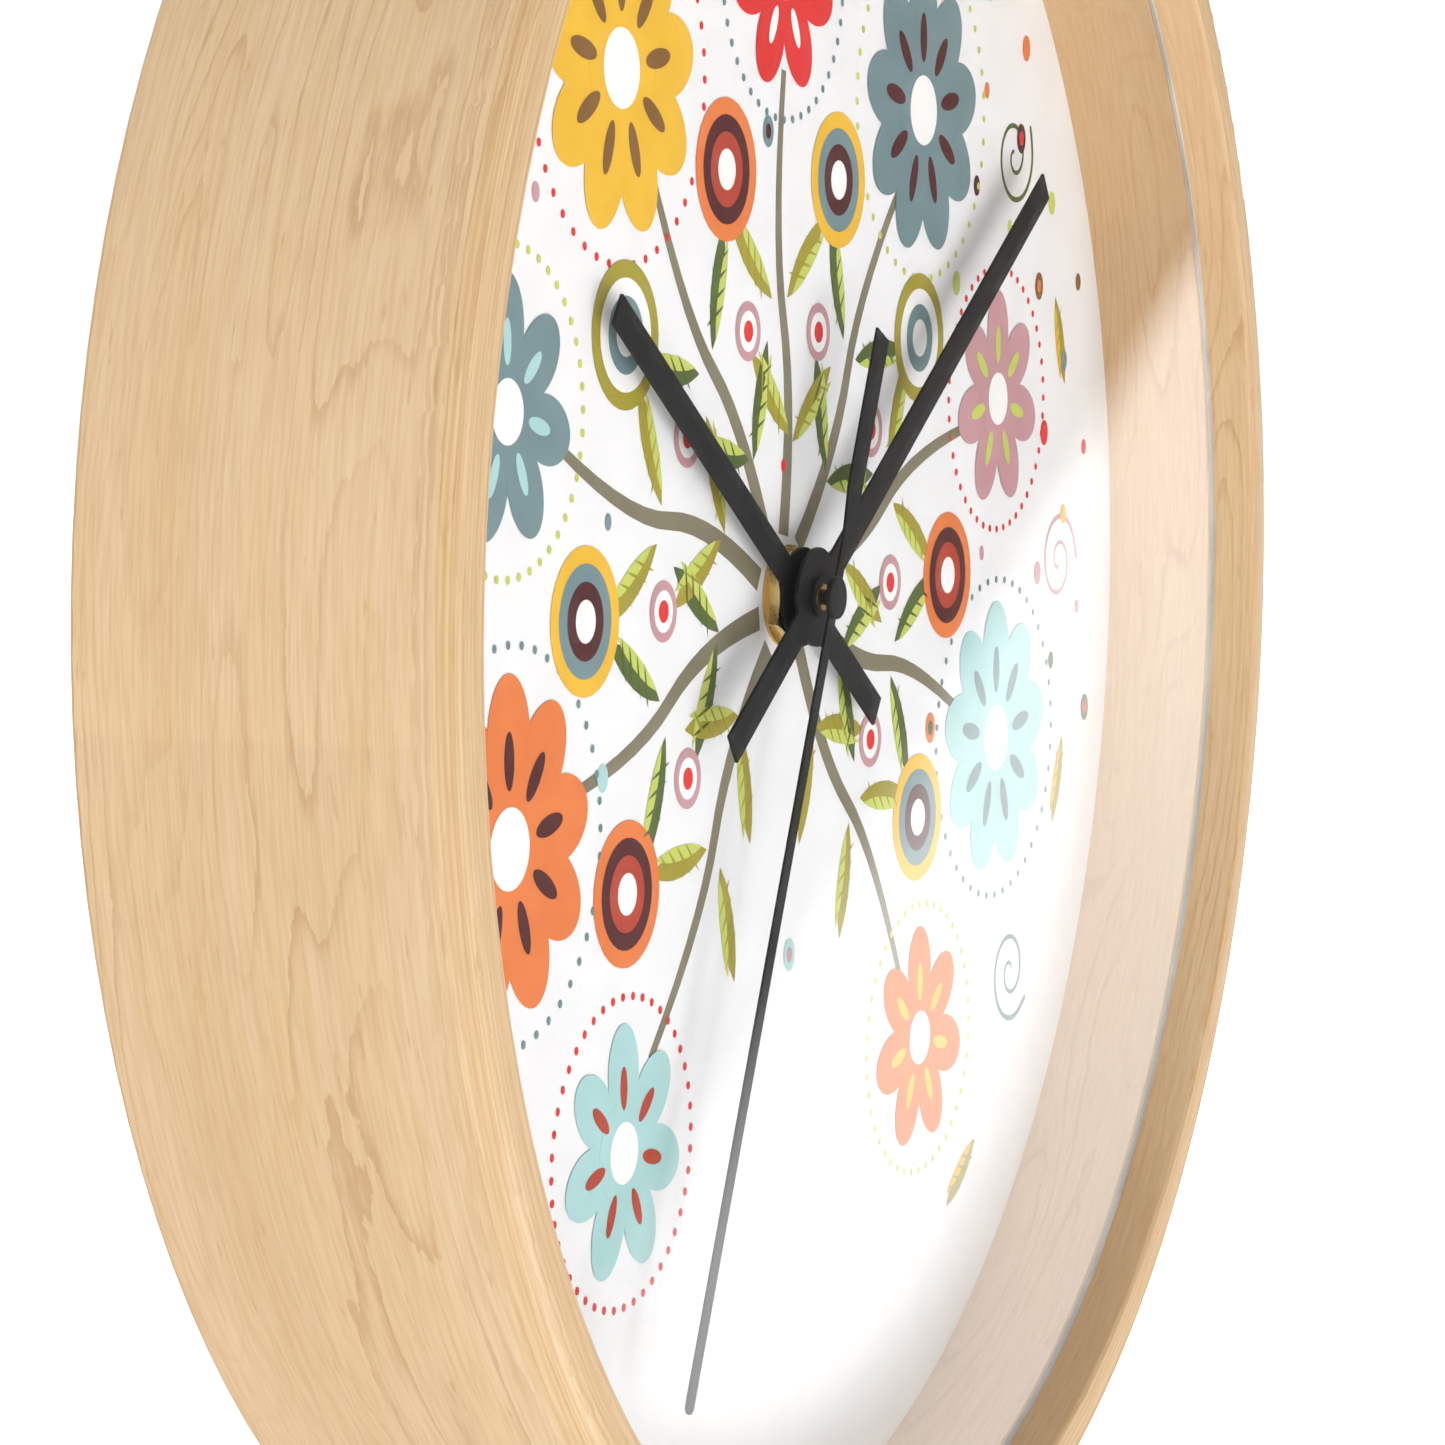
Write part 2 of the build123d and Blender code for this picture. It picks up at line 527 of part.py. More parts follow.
CHEEK_R = WINDING_R + 0.4
WINDING_LOW, WINDING_HIGH = BOBBIN_LOW + 1.0, BOBBIN_HIGH - 1.0
bobbin = along_coil(BOBBIN_TUBE_R, BOBBIN_LOW, BOBBIN_HIGH)
bobbin += along_coil(CHEEK_R, BOBBIN_LOW, WINDING_LOW)
bobbin += along_coil(CHEEK_R, WINDING_HIGH, BOBBIN_HIGH)
bobbin -= block(*core_x, BOBBIN_LOW, BOBBIN_HIGH, STATOR_FRONT, CORE_FRONT)
save("coil_bobbin", bobbin)
winding = along_coil(WINDING_R, WINDING_LOW, WINDING_HIGH)
winding -= along_coil(BOBBIN_TUBE_R, WINDING_LOW, WINDING_HIGH)
save("coil_winding", winding)


# ---------------------------------------------------------------- running train

# Pivots run a little clear of the bottoms of their cups
PIVOT_BACK = COVER_PIVOT_BACK + 0.1
PIVOT_FRONT = BRIDGE_FRONT - 0.1

# Rotor: magnet on a plastic arbor with a ten-tooth pinion
ROTOR_PINION_BACK, ROTOR_PINION_FRONT = 4.7, 6.2
MAGNET_FRONT = 8.2
MAGNET_HUB_R = 0.9
MAGNET_R = 2.9
rotor_tooth = TO_ROTOR + 180
rotor_levels = (ROTOR_PINION_BACK, ROTOR_PINION_FRONT)
rotor_arbor = disc(THIN_ARBOR_R, PIVOT_BACK, PIVOT_FRONT, ROTOR)
rotor_arbor += gear(ROTOR_TEETH, MODULE_ROTOR, *rotor_levels, ROTOR, rotor_tooth)
rotor_arbor += disc(MAGNET_HUB_R, ROTOR_PINION_FRONT, MAGNET_FRONT, ROTOR)
save("rotor_arbor", rotor_arbor)
magnet_back = ROTOR_PINION_FRONT + 0.1
save("rotor_magnet", disc(MAGNET_R, magnet_back, MAGNET_FRONT, ROTOR, bore=MAGNET_HUB_R))

# Intermediate wheel between the rotor and the seconds wheel
FIFTH_PINION_BACK, FIFTH_PINION_FRONT = 2.6, 4.0
FIFTH_WHEEL_BACK, FIFTH_WHEEL_FRONT = 5.1, 5.7
HUB_SLEEVE_R = 1.0
fifth_wheel_tooth = TO_ROTOR + 180 / FIFTH_TEETH
fifth_pinion_tooth = facing_gap(FIFTH_PINION, TO_FIFTH)
fifth_pinion_levels = (FIFTH_PINION_BACK, FIFTH_PINION_FRONT)
fifth_wheel_levels = (FIFTH_WHEEL_BACK, FIFTH_WHEEL_FRONT)
fifth = disc(THIN_ARBOR_R, PIVOT_BACK, PIVOT_FRONT, FIFTH)
fifth += gear(FIFTH_PINION, MODULE_SECOND, *fifth_pinion_levels, FIFTH, fifth_pinion_tooth)
fifth += gear(FIFTH_TEETH, MODULE_ROTOR, *fifth_wheel_levels, FIFTH, fifth_wheel_tooth)
fifth += disc(HUB_SLEEVE_R, FIFTH_PINION_FRONT, FIFTH_WHEEL_BACK, FIFTH)
save("intermediate_wheel", fifth)

# Seconds wheel: moulded wheel and pinion on a long steel arbor that carries the second hand
SECOND_WHEEL_BACK, SECOND_WHEEL_FRONT = 3.0, 3.6
SECOND_PINION_BACK, SECOND_PINION_FRONT = 6.9, 8.2
wheel_levels = (SECOND_WHEEL_BACK, SECOND_WHEEL_FRONT)
pinion_levels = (SECOND_PINION_BACK, SECOND_PINION_FRONT)
second_wheel = gear(SECOND_TEETH, MODULE_SECOND, *wheel_levels, CENTRE, TO_FIFTH, SECOND_ARBOR_R)
second_wheel += disc(HUB_SLEEVE_R, SECOND_WHEEL_FRONT, SECOND_PINION_BACK, bore=SECOND_ARBOR_R)
second_wheel += gear(SECOND_PINION, MODULE_THIRD, *pinion_levels, CENTRE, TO_THIRD, SECOND_ARBOR_R)
save("second_wheel", second_wheel)
save("second_arbor", disc(SECOND_ARBOR_R, PIVOT_BACK, SECOND_LEVEL))

# Third wheel, between the seconds wheel and the centre wheel
THIRD_WHEEL_BACK, THIRD_WHEEL_FRONT = 7.2, 7.8
THIRD_PINION_BACK, THIRD_PINION_FRONT = 9.6, 11.1
third_levels = (THIRD_WHEEL_BACK, THIRD_WHEEL_FRONT)
third_pinion_levels = (THIRD_PINION_BACK, THIRD_PINION_FRONT)
third = disc(THIN_ARBOR_R, PIVOT_BACK, THIRD_POST_BACK + 0.7, THIRD)
third += gear(THIRD_TEETH, MODULE_THIRD, *third_levels, THIRD, facing_gap(THIRD_TEETH, TO_THIRD))
third += gear(THIRD_PINION, MODULE_CENTRE, *third_pinion_levels, THIRD, TO_THIRD + 180)
save("third_wheel", third)

# Centre wheel, loose on the minute arbor and driven through the friction spring
CENTRE_WHEEL_BACK, CENTRE_WHEEL_FRONT = 10.1, 10.8
CENTRE_SEAT_R = 1.2
WINDOW_COUNT, WINDOW_R, WINDOW_REACH = 4, 1.3, 4.6
centre_levels = (CENTRE_WHEEL_BACK, CENTRE_WHEEL_FRONT)
centre_tooth = TO_THIRD + 180 / CENTRE_TEETH
centre_bore = CENTRE_SEAT_R + RUNNING
centre_wheel = gear(CENTRE_TEETH, MODULE_CENTRE, *centre_levels, CENTRE, centre_tooth, centre_bore)
for index in range(WINDOW_COUNT):
    window = Pos(*polar(WINDOW_REACH, 45 + 360 / WINDOW_COUNT * index)) * Circle(WINDOW_R)
    centre_wheel -= slab(window, *centre_levels)
save("centre_wheel", centre_wheel)


# ---------------------------------------------------------------- motion work and hand setting

ARBOR_BACK = 9.3
CANNON_BACK, CANNON_FRONT = 10.85, 12.3
MINUTE_END = 24.0
minute_arbor = disc(CENTRE_SEAT_R, ARBOR_BACK, CANNON_BACK)
minute_arbor += gear(CANNON_TEETH, MODULE_CANNON, CANNON_BACK, CANNON_FRONT, CENTRE, TO_MOTION)
minute_arbor += disc(MINUTE_TUBE_R, CANNON_FRONT, MINUTE_END)
minute_arbor -= disc(SECOND_ARBOR_R + RUNNING, ARBOR_BACK, MINUTE_END)
save("minute_arbor", minute_arbor)

# The clutch: a dished spring washer between a collar and the centre wheel
COLLAR_R, COLLAR_FRONT = 2.2, ARBOR_BACK + 0.3
SPRING_FLAT_R, SPRING_RIM_R = 1.8, 3.0
SPRING_FLAT_FRONT = COLLAR_FRONT + 0.15
SPRING_RIM_BACK, SPRING_RIM_FRONT = CENTRE_WHEEL_BACK - 0.17, CENTRE_WHEEL_BACK - 0.03
save("clutch_collar", disc(COLLAR_R, ARBOR_BACK, COLLAR_FRONT, bore=CENTRE_SEAT_R))
clutch_spring = ring_of_profile(
    (
        (CENTRE_SEAT_R, COLLAR_FRONT),
        (SPRING_FLAT_R, COLLAR_FRONT),
        (SPRING_RIM_R, SPRING_RIM_BACK),
        (SPRING_RIM_R, SPRING_RIM_FRONT),
        (SPRING_FLAT_R, SPRING_FLAT_FRONT),
        (CENTRE_SEAT_R, SPRING_FLAT_FRONT),
    )
)
save("clutch_spring", clutch_spring)

MOTION_BACK, MOTION_FRONT = 11.1, 11.8
MOTION_PINION_BACK, MOTION_PINION_FRONT = 12.2, 13.8
MOTION_SLEEVE_R = 1.25
MOTION_BORE_R = MOTION_STUB_R + RUNNING
motion_tooth = facing_gap(MOTION_TEETH, TO_MOTION)
motion_levels = (MOTION_BACK, MOTION_FRONT)
motion_pinion_levels = (MOTION_PINION_BACK, MOTION_PINION_FRONT)
motion_wheel = gear(MOTION_TEETH, MODULE_CANNON, *motion_levels, MOTION, motion_tooth, MOTION_BORE_R)
motion_wheel += disc(MOTION_SLEEVE_R, MOTION_FRONT, MOTION_PINION_BACK, MOTION, MOTION_BORE_R)
motion_wheel += gear(
    MOTION_PINION,
    MODULE_HOUR,
    *motion_pinion_levels,
    MOTION,
    TO_MOTION + 180,
    MOTION_BORE_R,
)
save("motion_wheel", motion_wheel)

HOUR_WHEEL_BACK, HOUR_WHEEL_FRONT = 12.6, 13.4
HOUR_PIPE_BACK, HOUR_PIPE_END = 12.45, 21.6
HOUR_BORE_R = MINUTE_TUBE_R + RUNNING
hour_tooth = TO_MOTION + 180 / HOUR_TEETH
hour_levels = (HOUR_WHEEL_BACK, HOUR_WHEEL_FRONT)
hour_wheel = gear(HOUR_TEETH, MODULE_HOUR, *hour_levels, CENTRE, hour_tooth, HOUR_BORE_R)
hour_wheel += disc(HOUR_PIPE_R, HOUR_PIPE_BACK, HOUR_PIPE_END, bore=HOUR_BORE_R)
save("hour_wheel", hour_wheel)

# Setting knob in the cover's opening, its arbor, and the pinion that turns the motion wheel
KNOB_BACK, KNOB_FRONT = 0.8, 2.6
SETTING_PINION_BACK, SETTING_PINION_FRONT = 10.9, 12.0
GRIP_COUNT, GRIP_R, GRIP_REACH = 24, 0.3, KNOB_R + 0.1
KNOB_RIM, KNOB_DISH = 1.2, 0.4
knob = disc(KNOB_R, KNOB_BACK, KNOB_FRONT, SETTING)
for index in range(GRIP_COUNT):
    groove = offset_point(SETTING, GRIP_REACH, 360 / GRIP_COUNT * index)
    knob -= disc(GRIP_R, KNOB_BACK, KNOB_FRONT, groove)
knob -= disc(KNOB_R - KNOB_RIM, KNOB_BACK, KNOB_BACK + KNOB_DISH, SETTING)
knob += disc(SETTING_ARBOR_R, KNOB_FRONT, SETTING_BOSS_BACK + 0.8, SETTING)
save("setting_knob", knob)
# The tooth that faces the motion wheel falls in one of its gaps, wherever that gap has come to
motion_gap_step = 360 / MOTION_TEETH
motion_turn = (TO_SETTING - motion_tooth) % motion_gap_step
setting_step = 360 / SETTING_TEETH
setting_tooth = TO_SETTING + 180 + setting_step / 2 + motion_turn * MOTION_TEETH / SETTING_TEETH
save(
    "setting_pinion",
    gear(
        SETTING_TEETH,
        MODULE_CANNON,
        SETTING_PINION_BACK,
        SETTING_PINION_FRONT,
        SETTING,
        setting_tooth,
        SETTING_ARBOR_R,
    ),
)


# ---------------------------------------------------------------- hands

HOUR_COLLAR_R = 3.4
hour_size = (HOUR_TIP, HOUR_TAIL, HAND_WIDTH, HUB_R, HOUR_PIPE_R)
hour_hand = hand_plate(HOUR_LEVEL, HAND_THICKNESS, *hour_size)
hour_hand += disc(HOUR_COLLAR_R, HOUR_LEVEL + HAND_THICKNESS, HOUR_PIPE_END, bore=HOUR_PIPE_R)
save("hour_hand", turned(hour_hand, HOUR_ANGLE))

MINUTE_COLLAR_R, MINUTE_COLLAR_HEIGHT = 2.4, 0.4
MINUTE_FRONT = MINUTE_LEVEL + HAND_THICKNESS
minute_size = (MINUTE_TIP, MINUTE_TAIL, HAND_WIDTH, HUB_R, MINUTE_TUBE_R)
minute_collar_front = MINUTE_FRONT + MINUTE_COLLAR_HEIGHT
minute_hand = hand_plate(MINUTE_LEVEL, HAND_THICKNESS, *minute_size)
minute_hand += disc(MINUTE_COLLAR_R, MINUTE_FRONT, minute_collar_front, bore=MINUTE_TUBE_R)
save("minute_hand", turned(minute_hand, MINUTE_ANGLE))

NECK_START, NECK_END, NECK_HALF = 14.0, 8.0, 0.9
SECOND_PIPE_R = 0.95
needle_length = SECOND_TIP - NEEDLE_WIDTH / 2
needle = Pos(0, needle_length / 2) * Rectangle(NEEDLE_WIDTH, needle_length)
needle += Pos(0, needle_length) * Circle(NEEDLE_WIDTH / 2)
tail = make_face(
    Polyline(
        (-NECK_HALF, 0),
        (-NECK_HALF, -NECK_END),
        (-HAND_WIDTH / 2, -NECK_START),
        (-HAND_WIDTH / 2, -SECOND_TAIL),
        (HAND_WIDTH / 2, -SECOND_TAIL),
        (HAND_WIDTH / 2, -NECK_START),
        (NECK_HALF, -NECK_END),
        (NECK_HALF, 0),
        close=True,
    )
)
second_hand = slab(needle + tail + Circle(CAP_R), SECOND_LEVEL, SECOND_LEVEL + SECOND_THICKNESS)
second_hand += disc(SECOND_PIPE_R, MINUTE_END + 0.2, SECOND_LEVEL, bore=SECOND_ARBOR_R)
save("second_hand", turned(second_hand, SECOND_ANGLE))
CAP_BACK = SECOND_LEVEL + SECOND_THICKNESS
CAP_FRONT = CAP_BACK + 0.35
cap = disc(CAP_R, CAP_BACK, CAP_FRONT)
cap = fillet(cap.edges().group_by(Axis.Y)[0], 0.2)
save("second_hand_cap", cap)

TRAIN_RATIO = (THIRD_TEETH / SECOND_PINION) * (CENTRE_TEETH / THIRD_PINION)
MOTION_RATIO = (MOTION_TEETH / CANNON_TEETH) * (HOUR_TEETH / MOTION_PINION)
ROTOR_RATIO = (SECOND_TEETH / FIFTH_PINION) * (FIFTH_TEETH / ROTOR_TEETH)
print("seconds per centre-wheel turn", TRAIN_RATIO, "minutes per hour-wheel turn", MOTION_RATIO)
print("rotor turns per seconds-wheel turn", ROTOR_RATIO)
arbors = {"third": THIRD, "fifth": FIFTH, "rotor": ROTOR, "motion": MOTION, "setting": SETTING}
for name, place in arbors.items():
    print(name, "arbor at x, z", round(place[0], 4), round(place[1], 4))
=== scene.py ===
import math
import bpy
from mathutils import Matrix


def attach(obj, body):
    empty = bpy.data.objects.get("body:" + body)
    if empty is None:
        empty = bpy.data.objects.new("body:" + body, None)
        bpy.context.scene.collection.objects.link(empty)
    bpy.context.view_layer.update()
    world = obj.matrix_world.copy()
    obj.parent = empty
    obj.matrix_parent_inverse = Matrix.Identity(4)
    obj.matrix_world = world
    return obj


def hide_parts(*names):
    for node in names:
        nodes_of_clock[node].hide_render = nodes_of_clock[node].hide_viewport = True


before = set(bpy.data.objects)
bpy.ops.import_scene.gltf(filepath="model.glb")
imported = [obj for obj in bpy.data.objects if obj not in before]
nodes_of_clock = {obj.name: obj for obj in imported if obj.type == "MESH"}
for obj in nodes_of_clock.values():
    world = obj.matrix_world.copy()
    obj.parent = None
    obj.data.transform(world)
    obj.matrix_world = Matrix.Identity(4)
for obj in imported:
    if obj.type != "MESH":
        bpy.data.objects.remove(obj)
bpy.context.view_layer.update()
bpy.ops.object.select_all(action="DESELECT")


# ------------------------------------------------------------------ Frame ring and spacer liner
# The ring is a strip of maple, steamed and bent round, so its grain runs along the rim. Its broad faces
# show flat-sawn figure and its front edge shows the fine lines of the growth rings. Satin lacquer.

def tone(red, green, blue):
    """A colour given as 8-bit screen values, made linear for a shader socket."""
    return tuple((value / 255) ** 2.2 for value in (red, green, blue)) + (1.0,)


def add(tree, kind, values=None, **settings):
    """Place a shader node. Each value is a number, a colour or the output socket that feeds it."""
    node = tree.nodes.new("ShaderNode" + kind)
    for name, setting in settings.items():
        setattr(node, name, setting)
    for key, value in (values or {}).items():
        if isinstance(value, bpy.types.NodeSocket):
            tree.links.new(value, node.inputs[key])
        else:
            node.inputs[key].default_value = value
    return node


def sums(tree, operation, first, second=0.0, third=0.0):
    """One step of arithmetic; returns its output."""
    return add(tree, "Math", {0: first, 1: second, 2: third}, operation=operation).outputs[0]


def between(tree, value, low, high, to_low=0.0, to_high=1.0):
    """Map a value smoothly from one range to another."""
    values = {"Value": value, "From Min": low, "From Max": high, "To Min": to_low, "To Max": to_high}
    return add(tree, "MapRange", values, interpolation_type="SMOOTHSTEP").outputs[0]


def mixed(tree, factor, first, second):
    """Mix two colours; returns the mixed colour."""
    return add(tree, "Mix", {0: factor, 6: first, 7: second}, data_type="RGBA").outputs[2]


def group_of(name, inputs, outputs):
    """A shared effect with named sockets; returns its tree, its input sockets and its output node."""
    tree = bpy.data.node_groups.new(name, "ShaderNodeTree")
    for label, kind in inputs:
        tree.interface.new_socket(label, in_out="INPUT", socket_type="NodeSocket" + kind)
    for label, kind in outputs:
        tree.interface.new_socket(label, in_out="OUTPUT", socket_type="NodeSocket" + kind)
    return tree, tree.nodes.new("NodeGroupInput").outputs, tree.nodes.new("NodeGroupOutput")


def place_group(tree, node_tree, **values):
    """Put a shared effect into a material; returns its output sockets."""
    node = tree.nodes.new("ShaderNodeGroup")
    node.node_tree = node_tree
    for label, value in values.items():
        node.inputs[label].default_value = value
    return node.outputs


def finish_of(name, roughness, metallic=0.0, **plain):
    """A new material; returns it with its tree and its Principled shader."""
    material = bpy.data.materials.new(name)
    material.use_nodes = True
    shader = material.node_tree.nodes["Principled BSDF"]
    shader.inputs["Roughness"].default_value = roughness
    shader.inputs["Metallic"].default_value = metallic
    for label, value in plain.items():
        shader.inputs[label.replace("_", " ")].default_value = value
    return material, material.node_tree, shader


def bump(tree, shader, height, depth):
    """Drive the shader's normal from a height field that is depth metres high."""
    relief = add(tree, "Bump", {"Height": height, "Distance": depth, "Strength": 1.0})
    tree.links.new(relief.outputs[0], shader.inputs["Normal"])


def dress(material, *names):
    """Give CAD nodes a material in place of the plain one."""
    for name in names:
        for place in nodes_of_clock[name].material_slots:
            place.material = material


def bent_grain():
    """Wood of a strip bent round the Y axis: long along the rim, fine across it."""
    inputs = [("Pale", "Color"), ("Warm", "Color"), ("Line", "Color"), ("Figure", "Float")]
    outputs = [("Color", "Color"), ("Roughness", "Float"), ("Height", "Float")]
    tree, given, end = group_of("BentMapleGrain", inputs, outputs)
    place = add(tree, "TexCoord").outputs["Object"]
    apart = add(tree, "SeparateXYZ", {0: place}).outputs
    flat = add(tree, "CombineXYZ", {0: apart[0], 2: apart[2]}).outputs[0]
    radius = add(tree, "VectorMath", {0: flat}, operation="LENGTH").outputs["Value"]
    # The mesh's chords dip under the true circle, so the radius is rounded off, or the grain would ripple
    layer = 0.0001
    radius = sums(tree, "SNAP", sums(tree, "ADD", radius, layer / 2), layer)
    spoke = add(tree, "VectorMath", {0: flat}, operation="NORMALIZE").outputs[0]

    def along_grain(around, across, through, detail, shift):
        """Noise with so many features per radian of rim and per metre across and through the strip."""
        turn = add(tree, "VectorMath", {0: spoke, "Scale": around}, operation="SCALE").outputs[0]
        rise = sums(tree, "MULTIPLY", apart[1], across)
        rise = add(tree, "CombineXYZ", {0: shift, 1: rise}).outputs[0]
        point = add(tree, "VectorMath", {0: turn, 1: rise}, operation="ADD").outputs[0]
        depth = sums(tree, "MULTIPLY", radius, through)
        values = {"Vector": point, "W": depth, "Scale": 1.0, "Detail": detail, "Roughness": 0.55}
        return add(tree, "TexNoise", values, noise_dimensions="4D").outputs[0]

    # Growth rings: level lines of a broad field that a finer one makes ragged, dark at each ring's end
    ring_count, raggedness, ring_end, sharpness = 21.0, 0.034, 0.97, 3.0
    broad = along_grain(1.05, 66.0, 330.0, 1.0, 0.0)
    wobble = along_grain(14.0, 560.0, 500.0, 4.0, 5.0)
    growth = sums(tree, "MULTIPLY_ADD", wobble, raggedness, broad)
    rings = sums(tree, "FRACT", sums(tree, "MULTIPLY", growth, ring_count))
    late = between(tree, rings, 0.60, ring_end)
    early = between(tree, rings, ring_end, 1.0, 1.0, 0.0)
    line = sums(tree, "POWER", sums(tree, "MULTIPLY", late, early), sharpness)
    patch = between(tree, along_grain(1.9, 75.0, 60.0, 1.0, 11.0), 0.34, 0.62, 0.2, 1.0)
    line = sums(tree, "MULTIPLY", line, sums(tree, "MULTIPLY", patch, given["Figure"]))
    # The wood between them: wide bands, fine fibres, streaks, the front edge's lines and small flecks
    bands = between(tree, along_grain(0.9, 130.0, 900.0, 2.0, 17.0), 0.3, 0.7, 0.1, 0.7)
    fibres = along_grain(15.0, 2600.0, 2600.0, 3.0, 23.0)
    fibre_lines = between(tree, fibres, 0.35, 0.7)
    streaks = between(tree, along_grain(8.0, 1100.0, 1600.0, 2.0, 29.0), 0.36, 0.72)
    edge_lines = between(tree, along_grain(0.5, 20.0, 4600.0, 2.0, 37.0), 0.42, 0.60)
    flecks = between(tree, along_grain(26.0, 1500.0, 1500.0, 1.0, 31.0), 0.68, 0.76)
    colour = mixed(tree, bands, given["Pale"], given["Warm"])
    for mark, strength, shade in (
        (streaks, 0.5, "Warm"),
        (edge_lines, 0.34, "Line"),
        (fibre_lines, 0.24, "Line"),
        (line, 0.44, "Line"),
        (flecks, 0.30, "Line"),
    ):
        colour = mixed(tree, sums(tree, "MULTIPLY", mark, strength), colour, given[shade])
    tree.links.new(colour, end.inputs["Color"])
    tree.links.new(between(tree, fibres, 0.3, 0.7, 0.38, 0.48), end.inputs["Roughness"])
    tree.links.new(fibres, end.inputs["Height"])
    return tree


MAPLE_PALE, MAPLE_WARM, MAPLE_LINE = tone(226, 197, 160), tone(219, 185, 137), tone(176, 130, 84)
MAPLE_PORE_DEPTH = 0.00006
maple, maple_tree, maple_shader = finish_of(
    "Maple", 0.42, Specular_IOR_Level=0.32, Coat_Weight=0.08, Coat_Roughness=0.16
)
grain = place_group(
    maple_tree, bent_grain(), Pale=MAPLE_PALE, Warm=MAPLE_WARM, Line=MAPLE_LINE, Figure=1.0
)
maple_tree.links.new(grain["Color"], maple_shader.inputs["Base Color"])
maple_tree.links.new(grain["Roughness"], maple_shader.inputs["Roughness"])
bump(maple_tree, maple_shader, grain["Height"], MAPLE_PORE_DEPTH)
dress(maple, "frame_ring", "spacer_liner")
# The ring isn't mirrored in the lens, where its wall would cut the reflection short.
nodes_of_clock["frame_ring"].visible_glossy = False
nodes_of_clock["frame_ring"].visible_transmission = False


# ------------------------------------------------------------------ Retaining points, hanger and rivets
# Zinc-plated steel: eight flexible points driven into the ring hold the board, and a bent strap with
# a keyhole takes the nail. Two aluminium rivets fix the strap.

def drawn_noise(name, along, turned=False):
    """Fine unevenness, drawn out along the sheet where along is below one, or turned round the shaft."""
    tree, given, end = group_of(name, [("Size", "Float")], [("Height", "Float"), ("Shade", "Float")])
    place = add(tree, "TexCoord").outputs["Object"]
    if turned:
        apart = add(tree, "SeparateXYZ", {0: place}).outputs
        flat = add(tree, "CombineXYZ", {0: apart[0], 1: apart[2]}).outputs[0]
        radius = add(tree, "VectorMath", {0: flat}, operation="LENGTH").outputs["Value"]
        place = add(tree, "CombineXYZ", {0: radius, 1: apart[1]}).outputs[0]
    stretch = add(tree, "Mapping", {"Vector": place, "Scale": (1.0, 1.0, along)}).outputs[0]
    fine = add(tree, "TexNoise", {"Vector": stretch, "Scale": given["Size"], "Detail": 4.0}).outputs[0]
    cloud_share = 0.04
    coarse = sums(tree, "MULTIPLY", given["Size"], cloud_share)
    cloud = add(tree, "TexNoise", {"Vector": stretch, "Scale": coarse, "Detail": 2.0}).outputs[0]
    tree.links.new(fine, end.inputs["Height"])
    tree.links.new(cloud, end.inputs["Shade"])
    return tree


def finished(name, effect, size, dark, light, gloss, depth, metallic=0.0, **plain):
    """A material whose colour, roughness and relief all follow one shared effect."""
    material, tree, shader = finish_of(name, gloss[0], metallic, **plain)
    spread = place_group(tree, effect, Size=size)
    colour = mixed(tree, between(tree, spread["Shade"], 0.35, 0.65), dark, light)
    tree.links.new(colour, shader.inputs["Base Color"])
    tree.links.new(between(tree, spread["Height"], 0.3, 0.7, *gloss), shader.inputs["Roughness"])
    bump(tree, shader, spread["Height"], depth)
    return material


rolled = drawn_noise("RolledSheet", 0.07)
tooth = drawn_noise("FineTooth", 1.0)
ZINC_DARK, ZINC_LIGHT = tone(168, 172, 176), tone(196, 199, 202)
zinc = finished("ZincPlate", rolled, 2400.0, ZINC_DARK, ZINC_LIGHT, (0.26, 0.42), 0.00001, 1.0)
dress(zinc, "retaining_points", "hanger_bracket", "hanger_rivets")


# ------------------------------------------------------------------ Back board
# Brown hardboard, pressed from wood fibre: smooth, with darker strands and a slight sheen.

BOARD_DARK, BOARD_LIGHT, BOARD_STRAND = tone(126, 92, 62), tone(139, 103, 70), tone(88, 62, 41)
board, board_tree, board_shader = finish_of("Hardboard", 0.6)
pressed = place_group(board_tree, tooth, Size=900.0)
strands = place_group(board_tree, rolled, Size=1500.0)
board_shade = between(board_tree, pressed["Shade"], 0.35, 0.65)
board_colour = mixed(board_tree, board_shade, BOARD_DARK, BOARD_LIGHT)
strand = between(board_tree, strands["Height"], 0.56, 0.66, 0.0, 0.5)
board_colour = mixed(board_tree, strand, board_colour, BOARD_STRAND)
board_tree.links.new(board_colour, board_shader.inputs["Base Color"])
board_gloss = between(board_tree, pressed["Height"], 0.3, 0.7, 0.5, 0.72)
board_tree.links.new(board_gloss, board_shader.inputs["Roughness"])
bump(board_tree, board_shader, pressed["Height"], 0.00005)
dress(board, "backing_board")


# ------------------------------------------------------------------ Dial sheet
# Heavy white paper, printed and glued to the back board. It has a fine tooth and a matt surface.

PAPER_WHITE, PAPER_SHADE = tone(244, 244, 245), tone(240, 240, 241)
paper = finished("DialPaper", tooth, 2600.0, PAPER_SHADE, PAPER_WHITE, (0.58, 0.68), 0.00002)
dress(paper, "dial_sheet")


# ------------------------------------------------------------------ Dial print
# The dial's decoration: an even fan of plain sprigs with daisies, round fruit, curls and dots, screen
# printed in flat inks. Each colour is a film a hundredth of a millimetre thick laid over the last.

